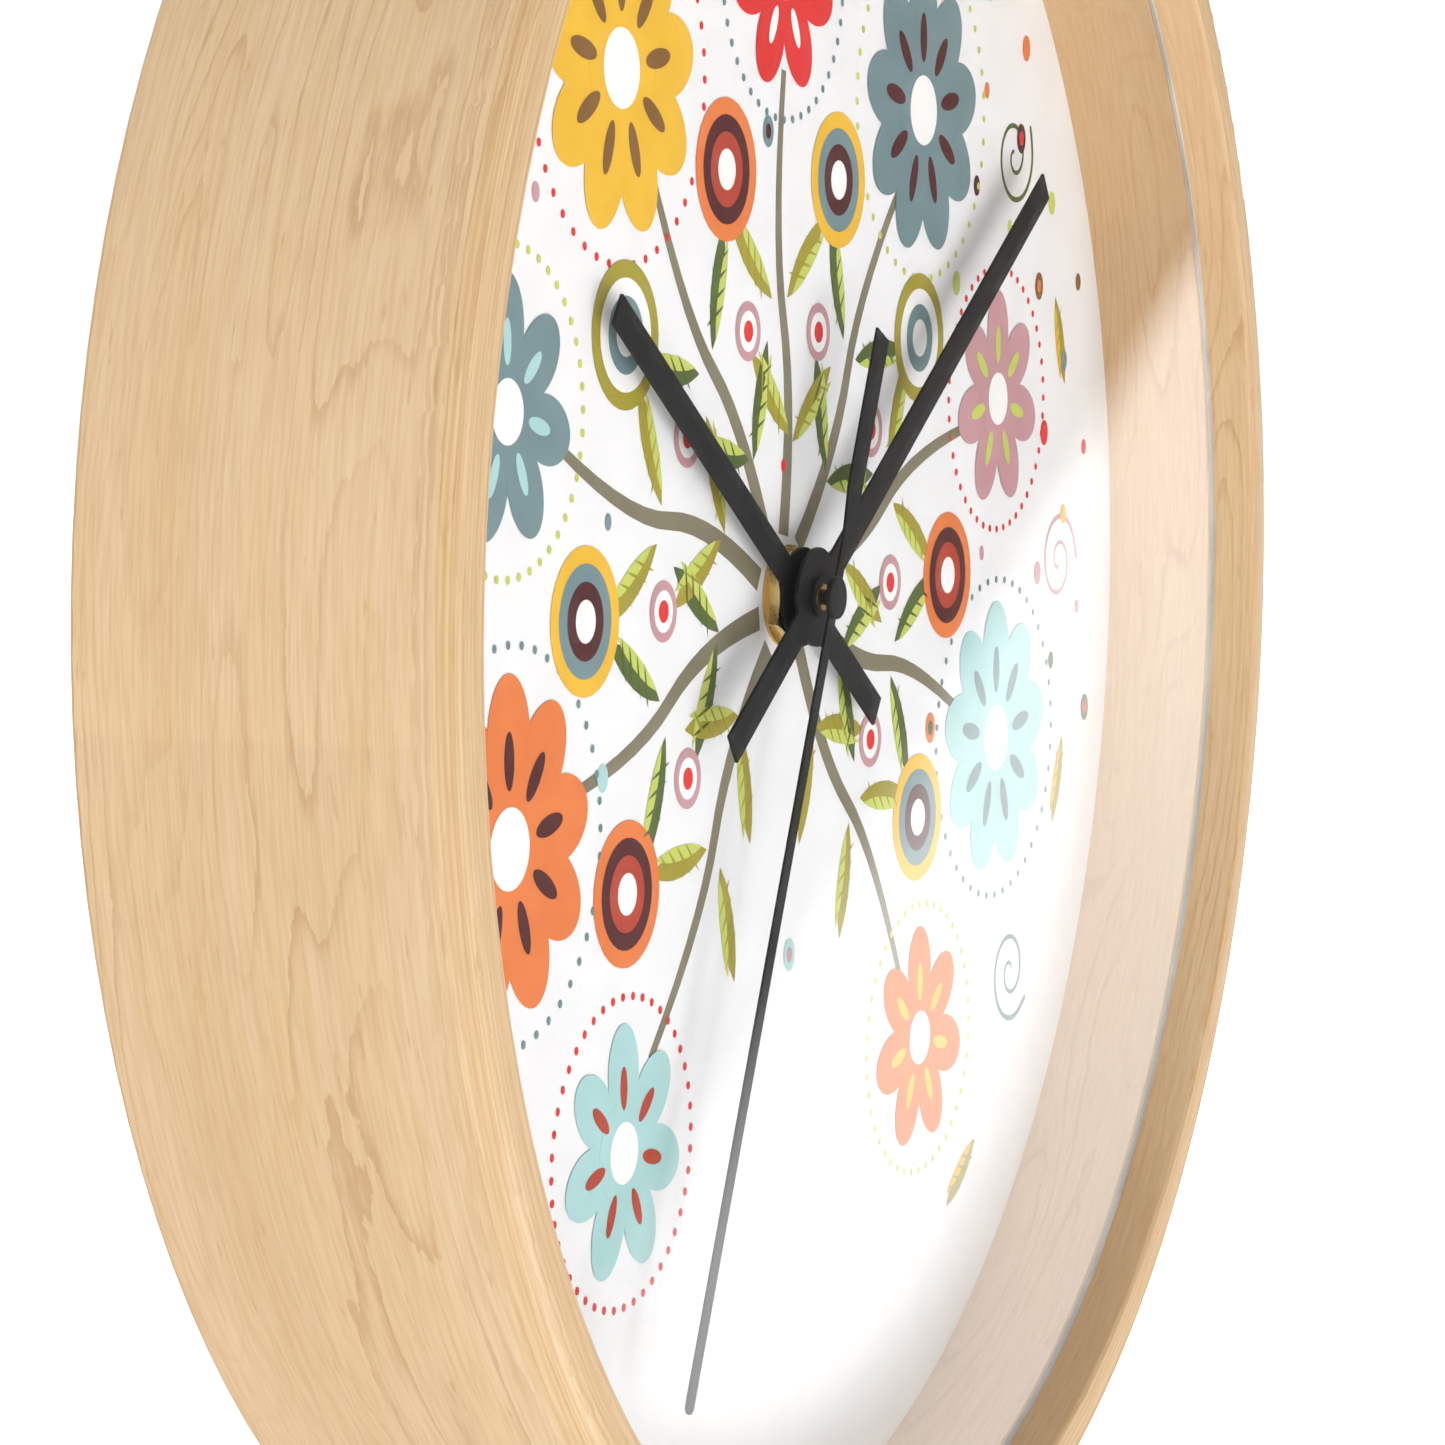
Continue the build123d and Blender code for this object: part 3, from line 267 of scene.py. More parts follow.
MM = 0.001
DIAL_FACE = 0.0185
INK_STEP = 0.00002
INK_FILM = 0.00001
INK_TONES = {
    "yellow": (236, 184, 47),
    "red": (222, 42, 41),
    "slate": (112, 138, 143),
    "aqua": (168, 211, 210),
    "orange": (229, 122, 60),
    "olive": (163, 151, 48),
    "moss": (84, 101, 47),
    "lime": (197, 208, 98),
    "brown": (128, 90, 42),
    "maroon": (79, 26, 30),
    "pink": (196, 147, 153),
    "rust": (177, 62, 41),
    "bark": (126, 120, 97),
    "white": (248, 248, 246),
}
INK_THINNING = 6
inks = {}
for ink_name, ink_tone in INK_TONES.items():
    full, thin = tone(*ink_tone), tone(*[min(255, level + INK_THINNING) for level in ink_tone])
    inks[ink_name] = finished("Ink_" + ink_name, tooth, 3200.0, full, thin, (0.5, 0.6), 0.00001)


def film_blank(name, corners, rounded=False):
    """A closed film of ink, two millimetres across, lying on the plane y = 0."""
    upright = (math.pi / 2, 0, 0)
    bpy.ops.mesh.primitive_circle_add(vertices=corners, radius=MM, fill_type="NGON", rotation=upright)
    blank = bpy.context.active_object
    blank.name = name
    bpy.ops.object.transform_apply(location=True, rotation=True, scale=True)
    if rounded:
        for corner in blank.data.vertices:
            corner.select = abs(corner.co.x) > MM / 2
        for kind in (blank.data.edges, blank.data.polygons):
            kind.foreach_set("select", [False] * len(kind))
        bpy.ops.object.mode_set(mode="EDIT")
        bpy.ops.mesh.select_mode(type="VERT")
        bpy.ops.mesh.bevel(offset_type="PERCENT", offset_pct=92, segments=7, affect="VERTICES")
    bpy.ops.object.mode_set(mode="EDIT")
    bpy.ops.mesh.select_all(action="SELECT")
    bpy.ops.mesh.extrude_region_move(TRANSFORM_OT_translate={"value": (0, INK_FILM, 0)})
    bpy.ops.mesh.select_all(action="SELECT")
    bpy.ops.mesh.normals_make_consistent(inside=False)
    bpy.ops.object.mode_set(mode="OBJECT")
    blank.select_set(False)
    return blank


round_blank = film_blank("round_blank", 32)
dot_blank = film_blank("dot_blank", 12)
leaf_blank = film_blank("leaf_blank", 4, rounded=True)
printed = []


def outwards(turn, reach):
    """The (x, z) place at a turn clockwise from twelve and a distance from the middle."""
    return math.sin(math.radians(turn)) * reach, math.cos(math.radians(turn)) * reach


def stamp(blank, ink, level, x, z, wide, tall=None, turn=0.0):
    """Lay a copy of a blank on the dial; sizes are half-widths in millimetres, turn is in degrees."""
    mark = blank.copy()
    mark.data = blank.data.copy()
    mark.data.materials.append(inks[ink])
    lift = DIAL_FACE + INK_STEP * (level + len(printed) % 7 / 12)
    mark.location = (x * MM, -lift, z * MM)
    mark.rotation_euler = (0, math.radians(turn), 0)
    mark.scale = (wide, 1, tall or wide)
    bpy.context.scene.collection.objects.link(mark)
    printed.append(mark)


def stroke(ink, points, start, end):
    """Draw a brush line through (x, z) points, its half-width running from start to end."""
    brush = bpy.data.curves.new("stroke", "CURVE")
    brush.dimensions = "3D"
    brush.bevel_depth = MM
    brush.bevel_resolution = 1
    brush.resolution_u = 5
    brush.use_fill_caps = True
    line = brush.splines.new("NURBS")
    line.points.add(len(points) - 1)
    for index, (x, z) in enumerate(points):
        line.points[index].co = (x * MM, 0, z * MM, 1)
        line.points[index].radius = start + (end - start) * index / (len(points) - 1)
    line.order_u = 3
    line.use_endpoint_u = True
    drawn = bpy.data.objects.new("stroke", brush)
    bpy.context.scene.collection.objects.link(drawn)
    brush.materials.append(inks[ink])
    drawn.location.y = -DIAL_FACE - INK_STEP * (0.6 + len(printed) % 5 / 12)
    drawn.scale.y = 0.002
    printed.append(drawn)


def ring_of(blank, ink, level, x, z, reach, wide, tall, count):
    """Stamp a ring of marks that point outwards."""
    for index in range(count):
        turn = 360 / count * index
        side, up = outwards(turn, reach)
        stamp(blank, ink, level, x + side, z + up, wide, tall, turn)


def daisy(x, z, size, petal, count, heart, pip):
    """Plain round petals about a small centre."""
    ring_of(round_blank, petal, 5, x, z, size * 0.62, size * 0.26, size * 0.38, count)
    stamp(round_blank, petal, 6, x, z, size * 0.42)
    ring_of(round_blank, pip, 7, x, z, size * 0.50, size * 0.06, size * 0.17, count)
    stamp(round_blank, heart, 8, x, z, size * 0.24)


def round_fruit(x, z, size, *rings):
    """Rings of ink one inside the other."""
    for index, ink in enumerate(rings):
        stamp(round_blank, ink, 4 + index, x, z, size * (1 - index / len(rings) * 0.95))


def leaf(x, z, length, turn, body, stripe):
    """A pointed leaf with a lighter half-width stripe and short ribs across it."""
    stamp(leaf_blank, body, 2, x, z, length * 0.52, length, turn)
    side, up = outwards(turn + 90, length * 0.15)
    stamp(leaf_blank, stripe, 3, x + side, z + up, length * 0.26, length * 0.84, turn + 4)
    for rib in (-0.45, -0.15, 0.15, 0.45):
        side, up = outwards(turn, rib * length)
        stamp(leaf_blank, body, 4, x + side, z + up, length * 0.06, length * 0.36, turn + 50)


CURL_POINTS, CURL_STEP, CURL_WIDTH = 26, 26, 0.45


def curl(x, z, size, ink, way, lean):
    """A brush line that winds in on itself, clockwise or the other way."""
    points = []
    for index in range(CURL_POINTS):
        side, up = outwards(lean + way * index * CURL_STEP, size * (1 - index / (CURL_POINTS + 1)))
        points.append((x + side, z + up))
    stroke(ink, points, CURL_WIDTH, CURL_WIDTH * 0.7)


# Nine sprigs in an even fan that is open at the foot, each with four leaves and a daisy at its tip.
# A place on the dial is a distance from the middle and a turn to either side of the sprig's own line.
SPRIGS, FAN_STEP = 9, 36.0
STEM = ((7.5, 0), (24, 7), (44, -4), (64, 0))
STEM_LEAVES = ((25, 20, 52), (25, -9, -48), (42, 9, 48), (42, -13, -52))
DAISY_REACH, TIP_LEAF_REACH = 76, 102
SMALL_DAISY, LARGE_DAISY = (15, 7, 18, "olive"), (19, 9, 22, "moss")
PETALS = ("aqua", "orange", "slate", "yellow", "red", "slate", "pink", "aqua", "orange")
PIPS = ("rust", "maroon", "aqua", "brown", "white", "maroon", "lime", "slate", "yellow")
DOTS = ("red", "slate", "lime")
for index in range(SPRIGS):
    turn = FAN_STEP * (index - (SPRIGS - 1) / 2)
    size, petal_count, dots_reach, leaf_ink = (SMALL_DAISY, LARGE_DAISY)[index % 2]
    x, z = outwards(turn, DAISY_REACH)
    stroke("bark", [outwards(turn + sway, reach) for reach, sway in STEM], 1.7, 0.8)
    for reach, sway, lean in STEM_LEAVES:
        leaf(*outwards(turn + sway, reach), 7.5, turn + lean, leaf_ink, "lime")
    ring_of(dot_blank, DOTS[index % 3], 3, x, z, dots_reach, 0.5, 0.5, 44)
    daisy(x, z, size, PETALS[index], petal_count, "white", PIPS[index])
    leaf(*outwards(turn, TIP_LEAF_REACH), 6.5, turn + 90, "olive", "yellow")

# Round fruit and curls in the eight gaps of the fan
FRUIT_REACH, BERRY_REACH, CURL_REACH = 54, 34, 97
FRUIT = (("orange", "maroon", "rust"), ("yellow", "slate", "maroon"), ("olive", "white", "slate"))
CURL_INKS = ("yellow", "moss", "pink", "slate")
for index in range(SPRIGS - 1):
    turn = FAN_STEP * (index - SPRIGS / 2 + 1)
    round_fruit(*outwards(turn, FRUIT_REACH), 8.5, *FRUIT[index % 3], "white")
    round_fruit(*outwards(turn, BERRY_REACH), 3.6, "pink", "white", "red")
    curl(*outwards(turn, CURL_REACH), 7.5, CURL_INKS[index % 4], 1 if index % 2 else -1, turn)

# Confetti between the sprigs, by the golden angle, left out where a flower or fruit covers the sheet
# and in the fan's open foot
GOLDEN_ANGLE = 137.508
CONFETTI_COUNT, CONFETTI_FROM, CONFETTI_REACH = 190, 16, 96
CONFETTI = ("red", "slate", "brown", "lime", "maroon", "orange", "aqua", "red", "moss", "pink", "yellow")
FOOT_LEVEL, FOOT_SLOPE = -46, 0.12
COVER_LEAST = 3.5
covered = [
    (mark.location.x / MM, mark.location.z / MM, max(mark.scale.x, mark.scale.z))
    for mark in printed
    if mark.scale.x > COVER_LEAST
]
for index in range(CONFETTI_COUNT):
    reach = CONFETTI_FROM + CONFETTI_REACH * math.sqrt(index / CONFETTI_COUNT)
    x, z = outwards(index * GOLDEN_ANGLE, reach)
    size = 0.7 + (index * 7 % 10) * 0.11
    clear = all(math.hypot(x - mid_x, z - mid_z) > size + radius + 1 for mid_x, mid_z, radius in covered)
    if clear and z > FOOT_LEVEL + abs(x) * FOOT_SLOPE:
        stamp(dot_blank, CONFETTI[index % len(CONFETTI)], 3, x, z, size, size * 1.25)
        if size > 1.5:
            stamp(dot_blank, CONFETTI[(index + 3) % len(CONFETTI)], 4, x, z, size * 0.5, size * 0.6)

for mark in printed:
    mark.select_set(True)
bpy.context.view_layer.objects.active = printed[0]
bpy.ops.object.convert(target="MESH")
bpy.ops.object.transform_apply(location=True, rotation=True, scale=True)
bpy.ops.object.join()
dial_print = bpy.context.active_object
dial_print.name = "dial_print"
bpy.ops.object.shade_flat()
dial_print.select_set(False)
for blank in (round_blank, dot_blank, leaf_blank):
    bpy.data.objects.remove(blank)
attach(dial_print, "clock_case")


# ------------------------------------------------------------------ Lens
# A flat disc of clear cast acrylic that drops into the ring's rebate from behind. Its sawn edge is
# ground matt, and so is a narrow border, most of which the ring covers.

def choose(piece, test):
    """Select the piece's faces that pass a test and go to edit mode."""
    bpy.ops.object.mode_set(mode="OBJECT")
    for kind in (piece.data.vertices, piece.data.edges, piece.data.polygons):
        kind.foreach_set("select", [False] * len(kind))
    for face in piece.data.polygons:
        face.select = test(face)
    bpy.ops.object.mode_set(mode="EDIT")
    bpy.ops.mesh.select_mode(type="FACE")


LENS_RADIUS = 0.121
LENS_FRONT, LENS_BACK = -0.0358, -0.03425
LENS_BORDER = 0.0023
LENS_CORNER = 0.00012
ACRYLIC_IOR = 1.49
CLEAR = (1.0, 1.0, 1.0, 1.0)
acrylic = finish_of("ClearAcrylic", 0.0, Base_Color=CLEAR, IOR=ACRYLIC_IOR, Transmission_Weight=1.0)[0]
GROUND_DARK, GROUND_LIGHT = tone(196, 195, 192), tone(222, 221, 218)
ground_edge = finished("GroundEdge", tooth, 1800.0, GROUND_DARK, GROUND_LIGHT, (0.75, 0.9), 0.00003)
bpy.ops.mesh.primitive_cylinder_add(
    vertices=256,
    radius=LENS_RADIUS,
    depth=LENS_BACK - LENS_FRONT,
    location=(0, (LENS_FRONT + LENS_BACK) / 2, 0),
    rotation=(math.pi / 2, 0, 0),
)
lens = bpy.context.active_object
lens.name = "lens_disc"
bpy.ops.object.transform_apply(location=True, rotation=True, scale=True)
lens.data.materials.append(acrylic)
lens.data.materials.append(ground_edge)
choose(lens, lambda face: abs(face.normal.y) > 0.9)
bpy.ops.mesh.region_to_loop()
bpy.ops.mesh.bevel(offset=LENS_CORNER, segments=2, affect="EDGES")
choose(lens, lambda face: abs(face.normal.y) > 0.99)
bpy.ops.mesh.inset(thickness=LENS_BORDER)
bpy.ops.mesh.select_all(action="INVERT")
lens.active_material_index = 1
bpy.ops.object.material_slot_assign()
bpy.ops.object.mode_set(mode="OBJECT")
bpy.ops.object.shade_smooth_by_angle(angle=math.radians(30))
lens.select_set(False)
lens.visible_shadow = False
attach(lens, "clock_case")
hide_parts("lens")


# ------------------------------------------------------------------ Movement case, cover and gasket
# Black polystyrene mouldings with the fine texture of a spark-eroded mould, and a soft rubber ring
# between the case and the board.

CASE_BLACK, CASE_GREY = tone(33, 33, 35), tone(41, 41, 43)
moulded = finished("BlackMoulding", tooth, 4200.0, CASE_BLACK, CASE_GREY, (0.42, 0.58), 0.00002)
dress(moulded, "movement_case", "movement_cover")
RUBBER_BLACK, RUBBER_BLOOM = tone(24, 24, 25), tone(38, 38, 38)
rubber = finished("Rubber", tooth, 1500.0, RUBBER_BLACK, RUBBER_BLOOM, (0.78, 0.92), 0.00002)
dress(rubber, "rubber_gasket")
dress(zinc, "cover_screws", "coil_screws")


# ------------------------------------------------------------------ Wheels, bridge and bobbin
# Natural white acetal, slightly waxy, moulded in one piece with each pinion.

ACETAL, ACETAL_SHADE = tone(232, 229, 220), tone(219, 215, 204)
acetal = finished("WhiteAcetal", tooth, 2600.0, ACETAL_SHADE, ACETAL, (0.32, 0.46), 0.00001)
dress(acetal, "gear_bridge", "coil_bobbin", "rotor_arbor", "intermediate_wheel", "second_wheel")
dress(acetal, "third_wheel", "centre_wheel", "motion_wheel", "hour_wheel", "setting_pinion")


# ------------------------------------------------------------------ Bush, nut, washer and arbors
# Turned brass, with the fine rings of the lathe tool, and a drawn steel arbor for the second hand.

turned_rings = drawn_noise("TurnedRings", 1.0, turned=True)
BRASS_DARK, BRASS_LIGHT = tone(208, 176, 110), tone(230, 202, 138)
brass = finished("TurnedBrass", turned_rings, 5200.0, BRASS_DARK, BRASS_LIGHT, (0.2, 0.36), 0.00001, 1.0)
dress(brass, "centre_bush", "mounting_nut", "nut_washer", "minute_arbor", "clutch_collar")
STEEL_DARK, STEEL_LIGHT = tone(176, 178, 181), tone(206, 208, 210)
steel = finished("BrightSteel", turned_rings, 6000.0, STEEL_DARK, STEEL_LIGHT, (0.16, 0.3), 0.00001, 1.0)
dress(steel, "second_arbor", "clutch_spring")


# ------------------------------------------------------------------ Battery cell
# One AA cell: a printed plastic sleeve over a nickel-plated can, with both ends bare.

CELL_SLEEVE_END = 0.0243
CELL_BAND_START, CELL_BAND_END = 0.0128, 0.0133
SLEEVE_BLUE, SLEEVE_DEEP = tone(38, 66, 104), tone(30, 54, 88)
SLEEVE_BAND = tone(206, 209, 212)
BARE_CAN = tone(196, 194, 188)
cell, cell_tree, cell_shader = finish_of("CellSleeve", 0.3, Coat_Weight=0.4, Coat_Roughness=0.12)
cell_place = add(cell_tree, "SeparateXYZ", {0: add(cell_tree, "TexCoord").outputs["Object"]}).outputs
cell_wear = place_group(cell_tree, tooth, Size=2200.0)
sleeve = mixed(cell_tree, between(cell_tree, cell_wear["Shade"], 0.35, 0.65), SLEEVE_DEEP, SLEEVE_BLUE)
band = between(cell_tree, cell_place[0], CELL_BAND_START, CELL_BAND_END)
sleeve = mixed(cell_tree, band, sleeve, SLEEVE_BAND)
from_middle = sums(cell_tree, "ABSOLUTE", cell_place[0])
bare = sums(cell_tree, "GREATER_THAN", from_middle, CELL_SLEEVE_END)
cell_tree.links.new(mixed(cell_tree, bare, sleeve, BARE_CAN), cell_shader.inputs["Base Color"])
cell_tree.links.new(bare, cell_shader.inputs["Metallic"])
cell_gloss = between(cell_tree, cell_wear["Height"], 0.3, 0.7, 0.24, 0.36)
cell_tree.links.new(cell_gloss, cell_shader.inputs["Roughness"])
bump(cell_tree, cell_shader, cell_wear["Height"], 0.000008)
dress(cell, "battery_cell")


# ------------------------------------------------------------------ Contacts and crystal
# Strips stamped from nickel-plated spring steel, and the crystal's small drawn can.

NICKEL_DARK, NICKEL_LIGHT = tone(178, 172, 160), tone(208, 203, 192)
nickel = finished("NickelStrip", rolled, 3000.0, NICKEL_DARK, NICKEL_LIGHT, (0.2, 0.34), 0.000008, 1.0)
dress(nickel, "contact_positive", "contact_negative", "quartz_crystal")


# ------------------------------------------------------------------ Circuit board and chip
# Phenolic paper laminate with etched copper under green lacquer, and a blob of black epoxy over the
# bonded chip.

TRACK_STEP = 0.0016
TRACK_SHARE = 0.62
TRACK_BLOCKS = 260.0
TRACK_DEPTH = 0.00003
LAMINATE_GREEN, LAMINATE_DEEP, TRACK_GREEN = tone(46, 92, 58), tone(38, 80, 50), tone(98, 142, 84)
laminate, laminate_tree, laminate_shader = finish_of(
    "Laminate", 0.35, Coat_Weight=0.3, Coat_Roughness=0.15
)
laminate_place = add(laminate_tree, "TexCoord").outputs["Object"]
laminate_spread = place_group(laminate_tree, tooth, Size=2000.0)
laminate_apart = add(laminate_tree, "SeparateXYZ", {0: laminate_place}).outputs
blocks = {"Vector": laminate_place, "Scale": TRACK_BLOCKS}
blocks = add(laminate_tree, "TexVoronoi", blocks, distance="CHEBYCHEV")
upright = sums(laminate_tree, "FLOOR", sums(laminate_tree, "MULTIPLY", blocks.outputs["Color"], 2.0))
crossing = add(laminate_tree, "Mix", {0: upright, 2: laminate_apart[0], 3: laminate_apart[2]}).outputs[0]
track = sums(laminate_tree, "FRACT", sums(laminate_tree, "DIVIDE", crossing, TRACK_STEP))
track = sums(laminate_tree, "GREATER_THAN", track, TRACK_SHARE)
laminate_shade = between(laminate_tree, laminate_spread["Shade"], 0.35, 0.65)
laminate_colour = mixed(laminate_tree, laminate_shade, LAMINATE_DEEP, LAMINATE_GREEN)
laminate_colour = mixed(laminate_tree, track, laminate_colour, TRACK_GREEN)
laminate_tree.links.new(laminate_colour, laminate_shader.inputs["Base Color"])
laminate_gloss = between(laminate_tree, laminate_spread["Height"], 0.3, 0.7, 0.3, 0.42)
laminate_tree.links.new(laminate_gloss, laminate_shader.inputs["Roughness"])
bump(laminate_tree, laminate_shader, track, TRACK_DEPTH)
dress(laminate, "circuit_board")
EPOXY_BLACK, EPOXY_GREY = tone(20, 20, 21), tone(28, 28, 29)
epoxy = finished("ChipEpoxy", tooth, 1600.0, EPOXY_BLACK, EPOXY_GREY, (0.18, 0.3), 0.00002)
dress(epoxy, "driver_chip")


# ------------------------------------------------------------------ Motor
# Soft iron stator and core, stamped; enamelled copper wire wound in even turns, with painted shade in the
# grooves between the turns; a ferrite magnet.

WIRE_PITCH, WIRE_RELIEF = 0.00012, 0.00004
IRON_DARK, IRON_LIGHT = tone(132, 132, 134), tone(160, 160, 161)
iron = finished("SoftIron", rolled, 2600.0, IRON_DARK, IRON_LIGHT, (0.34, 0.5), 0.000008, 1.0)
dress(iron, "stator_plate", "coil_core")
FERRITE_DARK, FERRITE_LIGHT = tone(58, 58, 61), tone(78, 78, 80)
ferrite = finished("Ferrite", tooth, 3400.0, FERRITE_DARK, FERRITE_LIGHT, (0.4, 0.56), 0.00001, 0.5)
dress(ferrite, "rotor_magnet")
# Copper colours of the winding: painted shade for the grooves between turns, and a painted lighter tone
# for each turn's crest.
WIRE_GROOVE_SHADE, WIRE_CREST_LIGHT = tone(150, 66, 32), tone(204, 108, 60)
wire, wire_tree, wire_shader = finish_of("CopperWire", 0.3, 1.0, Coat_Weight=0.6, Coat_Roughness=0.1)
wire_height = add(wire_tree, "SeparateXYZ", {0: add(wire_tree, "TexCoord").outputs["Object"]}).outputs[2]
# Each turn's profile, from groove to crest and back, gives the bump its relief and also paints shade into
# the colour: dark in the grooves, light on the crests.
wire_turn = sums(wire_tree, "PINGPONG", wire_height, WIRE_PITCH / 2)
wire_turn = sums(wire_tree, "DIVIDE", wire_turn, WIRE_PITCH / 2)
wire_spread = place_group(wire_tree, tooth, Size=1800.0)
wire_shade = between(wire_tree, wire_spread["Shade"], 0.3, 0.7, 0.7, 1.0)
wire_shade = sums(wire_tree, "MULTIPLY", wire_turn, wire_shade)
wire_colour = mixed(wire_tree, wire_shade, WIRE_GROOVE_SHADE, WIRE_CREST_LIGHT)
wire_tree.links.new(wire_colour, wire_shader.inputs["Base Color"])
wire_gloss = between(wire_tree, wire_spread["Height"], 0.3, 0.7, 0.24, 0.36)
wire_tree.links.new(wire_gloss, wire_shader.inputs["Roughness"])
bump(wire_tree, wire_shader, wire_turn, WIRE_RELIEF)
dress(wire, "coil_winding")


# ------------------------------------------------------------------ Hands
# Three hands punched from thin aluminium and painted satin black, each pressed on its own shaft.

HAND_BLACK, HAND_GREY = tone(33, 33, 34), tone(40, 40, 41)
HAND_SHINE = 0.2
HAND_GLOSS = (0.44, 0.56)
hand_paint = finished(
    "HandPaint", tooth, 5200.0, HAND_BLACK, HAND_GREY, HAND_GLOSS, 0.00001, Specular_IOR_Level=HAND_SHINE
)
dress(hand_paint, "hour_hand", "minute_hand", "second_hand", "second_hand_cap")


# ------------------------------------------------------------------ Setting knob
# A small grey moulded wheel in the cover's opening, ribbed for the thumb.

KNOB_DARK, KNOB_LIGHT = tone(66, 66, 69), tone(80, 80, 83)
knob = finished("KnobMoulding", tooth, 3600.0, KNOB_DARK, KNOB_LIGHT, (0.4, 0.55), 0.00002)
dress(knob, "setting_knob")


# ------------------------------------------------------------------ Floor, light and camera
# The clock hangs free above a plain pale floor, in a pale room. Three soft boxes light it, two of them
# low in front and one at the left, and the lens mirrors a bright card that stands on the right.

FLOOR_SIZE, FLOOR_LEVEL, FLOOR_GLOW = 40, -0.62, 0.75
FLOOR_PALE = (0.93, 0.93, 0.93, 1.0)
WHITE = (1.0, 1.0, 1.0, 1.0)
bpy.ops.mesh.primitive_plane_add(size=FLOOR_SIZE, location=(0, 0, FLOOR_LEVEL))
floor = bpy.context.active_object
floor.name = "floor"
floor_paint, floor_tree, floor_shader = finish_of(
    "FloorPaint", 0.9, Specular_IOR_Level=0.0, Base_Color=FLOOR_PALE, Emission_Color=WHITE
)
floor_glow = add(floor_tree, "LightPath").outputs["Is Camera Ray"]
floor_glow = sums(floor_tree, "MULTIPLY", floor_glow, FLOOR_GLOW)
floor_tree.links.new(floor_glow, floor_shader.inputs["Emission Strength"])
floor.data.materials.append(floor_paint)
# The soft boxes stand under the floor's level, so it throws no shadow.
floor.visible_glossy = False
floor.visible_transmission = False
floor.visible_shadow = False

world = bpy.data.worlds.new("studio")
bpy.context.scene.world = world
world.use_nodes = True
sky = world.node_tree
rays = add(sky, "LightPath").outputs
# The room is bright to the eye and to what it lights, but dim in the lens. Behind the clock, and for
# metal under the lens, it is brighter, so that metal has something to mirror.
AMBIENT, BACKDROP = 0.78, 1.05
SHEEN_OF_ROOM, METAL_ROOM, LENS_ROOM = 0.02, 0.75, 0.25
BEHIND_FROM, BEHIND_FULL = -0.05, 0.3
LENS_PASSES = 2.5
direction = add(sky, "SeparateXYZ", {0: add(sky, "TexCoord").outputs["Generated"]}).outputs
behind = between(sky, direction[1], BEHIND_FROM, BEHIND_FULL, SHEEN_OF_ROOM, METAL_ROOM)
under_lens = sums(sky, "GREATER_THAN", rays["Transmission Depth"], LENS_PASSES)
sheen = sums(sky, "MAXIMUM", behind, sums(sky, "MULTIPLY", under_lens, LENS_ROOM))
mirrored = sums(sky, "MAXIMUM", rays["Is Glossy Ray"], rays["Is Transmission Ray"])
direct = sums(sky, "LESS_THAN", rays["Diffuse Depth"], 0.5)
mirrored = sums(sky, "MULTIPLY", mirrored, direct)
seen = add(sky, "Mix", {0: mirrored, 2: AMBIENT, 3: sheen}).outputs[0]
seen = sums(sky, "MULTIPLY_ADD", rays["Is Camera Ray"], BACKDROP - AMBIENT, seen)
sky.nodes["Background"].inputs["Color"].default_value = WHITE
sky.links.new(seen, sky.nodes["Background"].inputs["Strength"])

# Each soft box: the way to it from the clock, its distance, its size in metres and its power in watts
SOFT_BOXES = {
    "soft_box_left": ((-0.75, -1.0, -0.8), 3.0, 1.4, 30.0),
    "soft_box_right": ((0.3, -1.0, -0.8), 3.0, 1.2, 26.0),
    "soft_box_side": ((-1.0, -0.25, -0.3), 1.6, 0.9, 6.0),
}
for name, (towards, distance, size, power) in SOFT_BOXES.items():
    lamp = bpy.data.lights.new(name, "AREA")
    lamp.shape = "SQUARE"
    lamp.size = size
    lamp.energy = power
    box = bpy.data.objects.new(name, lamp)
    bpy.context.scene.collection.objects.link(box)
    length = math.sqrt(sum(part * part for part in towards))
    spot = [part / length * distance for part in towards]
    box.location = spot
    yaw = math.atan2(spot[0], -spot[1])
    pitch = math.atan2(math.hypot(spot[0], spot[1]), spot[2])
    box.rotation_euler = (pitch, 0, yaw)
    box.visible_camera = False

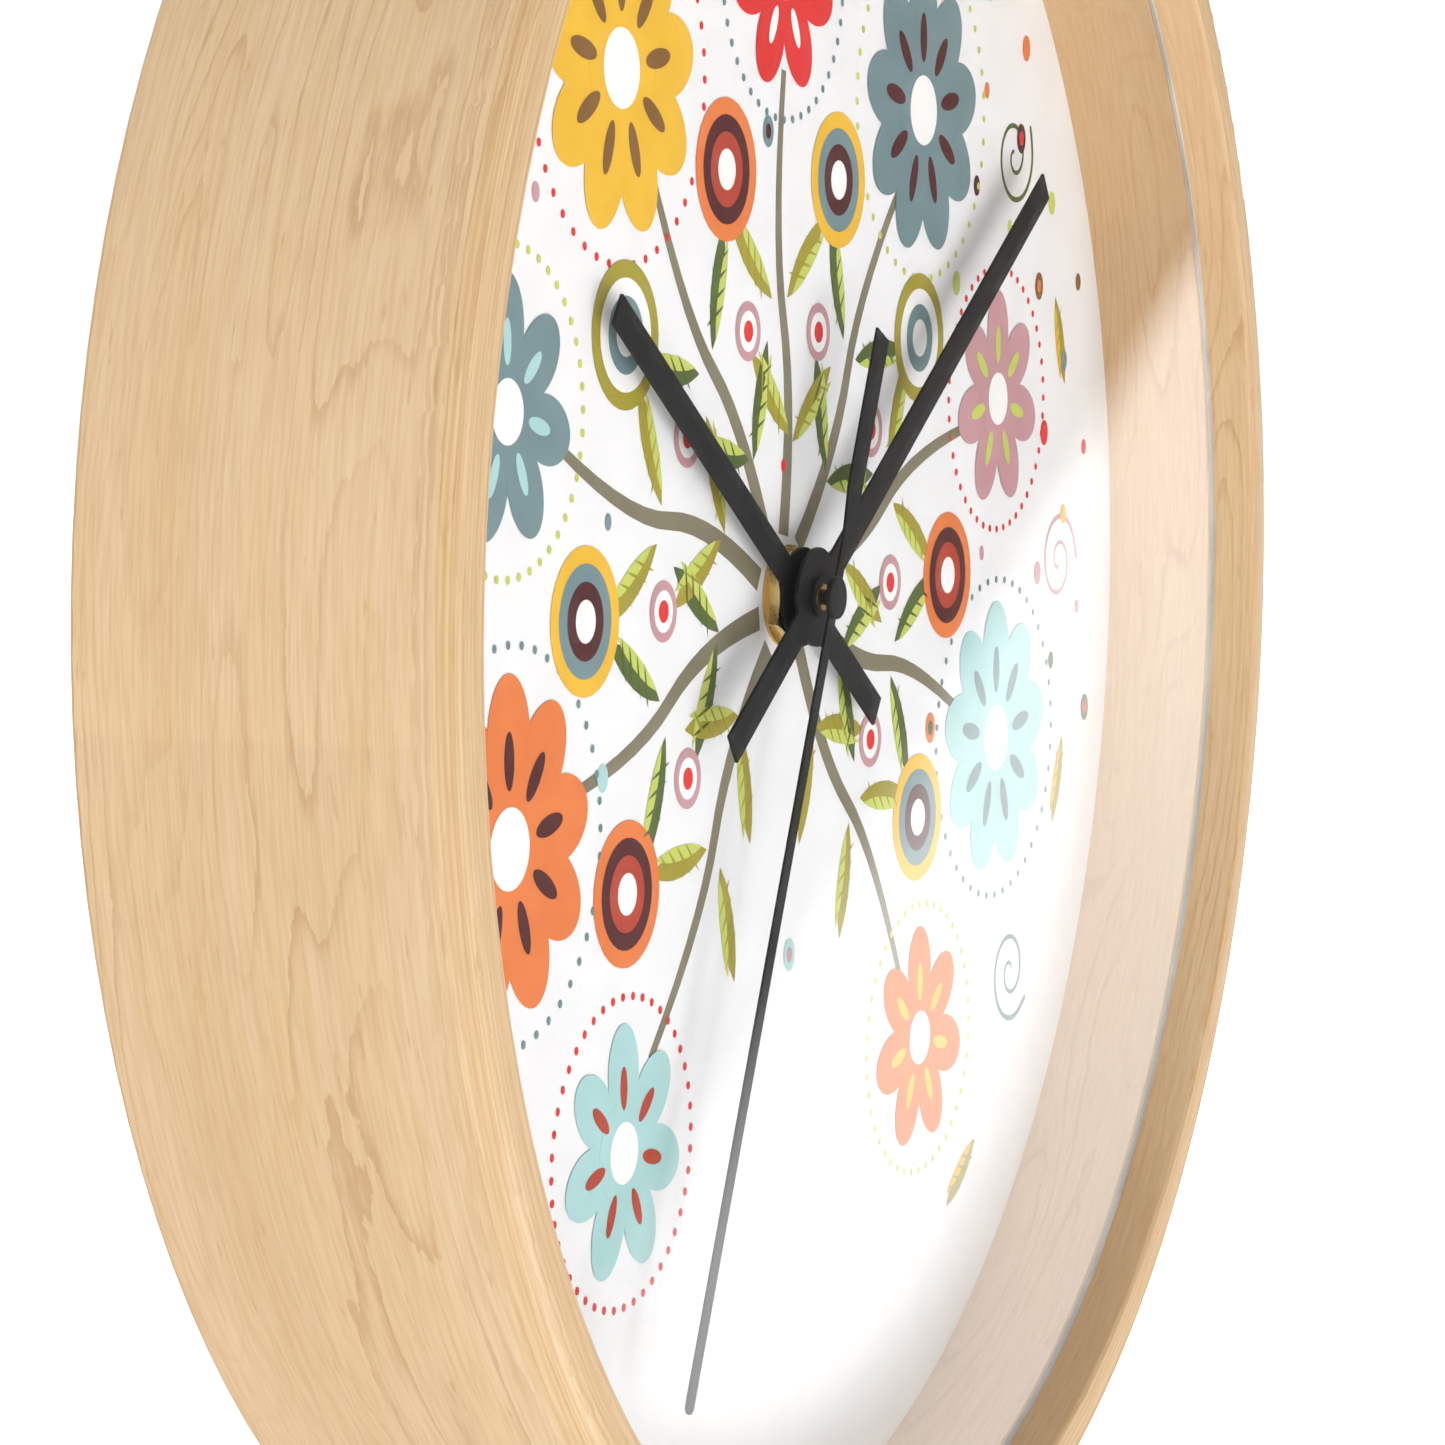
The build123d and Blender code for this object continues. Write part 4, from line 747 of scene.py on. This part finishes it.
# The card's straight edge crosses the lens as a soft diagonal; past it the lens looks white.
CARD_LENGTH, CARD_WIDTH = 0.96, 0.34
CARD_PLACE = (1.2, -0.436, -0.298)
CARD_TILT = math.atan2(0.857, 0.515)
CARD_GLOW = 1.3
CARD_SOFT_END, CARD_SHARP_END = 0.07, 0.02
bpy.ops.mesh.primitive_plane_add(size=1)
card = bpy.context.active_object
card.name = "bright_card"
card.scale = (CARD_LENGTH, CARD_WIDTH, 1)
bpy.ops.object.transform_apply(location=False, rotation=False, scale=True)
card.location = CARD_PLACE
card.rotation_euler = (math.pi / 2, 0, math.pi / 2)
card.rotation_euler.rotate_axis("Z", CARD_TILT)
card_glow = bpy.data.materials.new("CardGlow")
card_glow.use_nodes = True
card_tree = card_glow.node_tree
card_tree.nodes.remove(card_tree.nodes["Principled BSDF"])
card_place = add(card_tree, "SeparateXYZ", {0: add(card_tree, "TexCoord").outputs["Object"]}).outputs
half_length, half_width = CARD_LENGTH / 2, CARD_WIDTH / 2
fade_width = between(card_tree, card_place[0], -half_length, half_length, CARD_SOFT_END, CARD_SHARP_END)
from_edge = sums(card_tree, "ADD", sums(card_tree, "MULTIPLY", card_place[1], -1.0), half_width)
fade = between(card_tree, sums(card_tree, "DIVIDE", from_edge, fade_width), 0.0, 1.0, 0.0, CARD_GLOW)
card_light = add(card_tree, "Emission", {"Strength": fade})
card_tree.links.new(card_light.outputs[0], card_tree.nodes["Material Output"].inputs["Surface"])
card.data.materials.append(card_glow)
card.visible_camera = False
card.visible_diffuse = False
card.visible_shadow = False

CAMERA_DISTANCE = 0.54228
CAMERA_TARGET = (0.02437, 0.0, -0.01827)
CAMERA_AZIMUTH = math.radians(-65.12)
CAMERA_ELEVATION = math.radians(5.06)
CAMERA_LENS, CAMERA_SENSOR = 103.51, 36.0
camera_data = bpy.data.cameras.new("camera")
camera_data.lens = CAMERA_LENS
camera_data.sensor_width = CAMERA_SENSOR
camera = bpy.data.objects.new("camera", camera_data)
bpy.context.scene.collection.objects.link(camera)
level = math.cos(CAMERA_ELEVATION) * CAMERA_DISTANCE
camera.location = (
    CAMERA_TARGET[0] + math.sin(CAMERA_AZIMUTH) * level,
    CAMERA_TARGET[1] - math.cos(CAMERA_AZIMUTH) * level,
    CAMERA_TARGET[2] + math.sin(CAMERA_ELEVATION) * CAMERA_DISTANCE,
)
camera.rotation_euler = (math.pi / 2 - CAMERA_ELEVATION, 0, CAMERA_AZIMUTH)
bpy.context.scene.camera = camera
bpy.context.scene.view_settings.view_transform = "Standard"
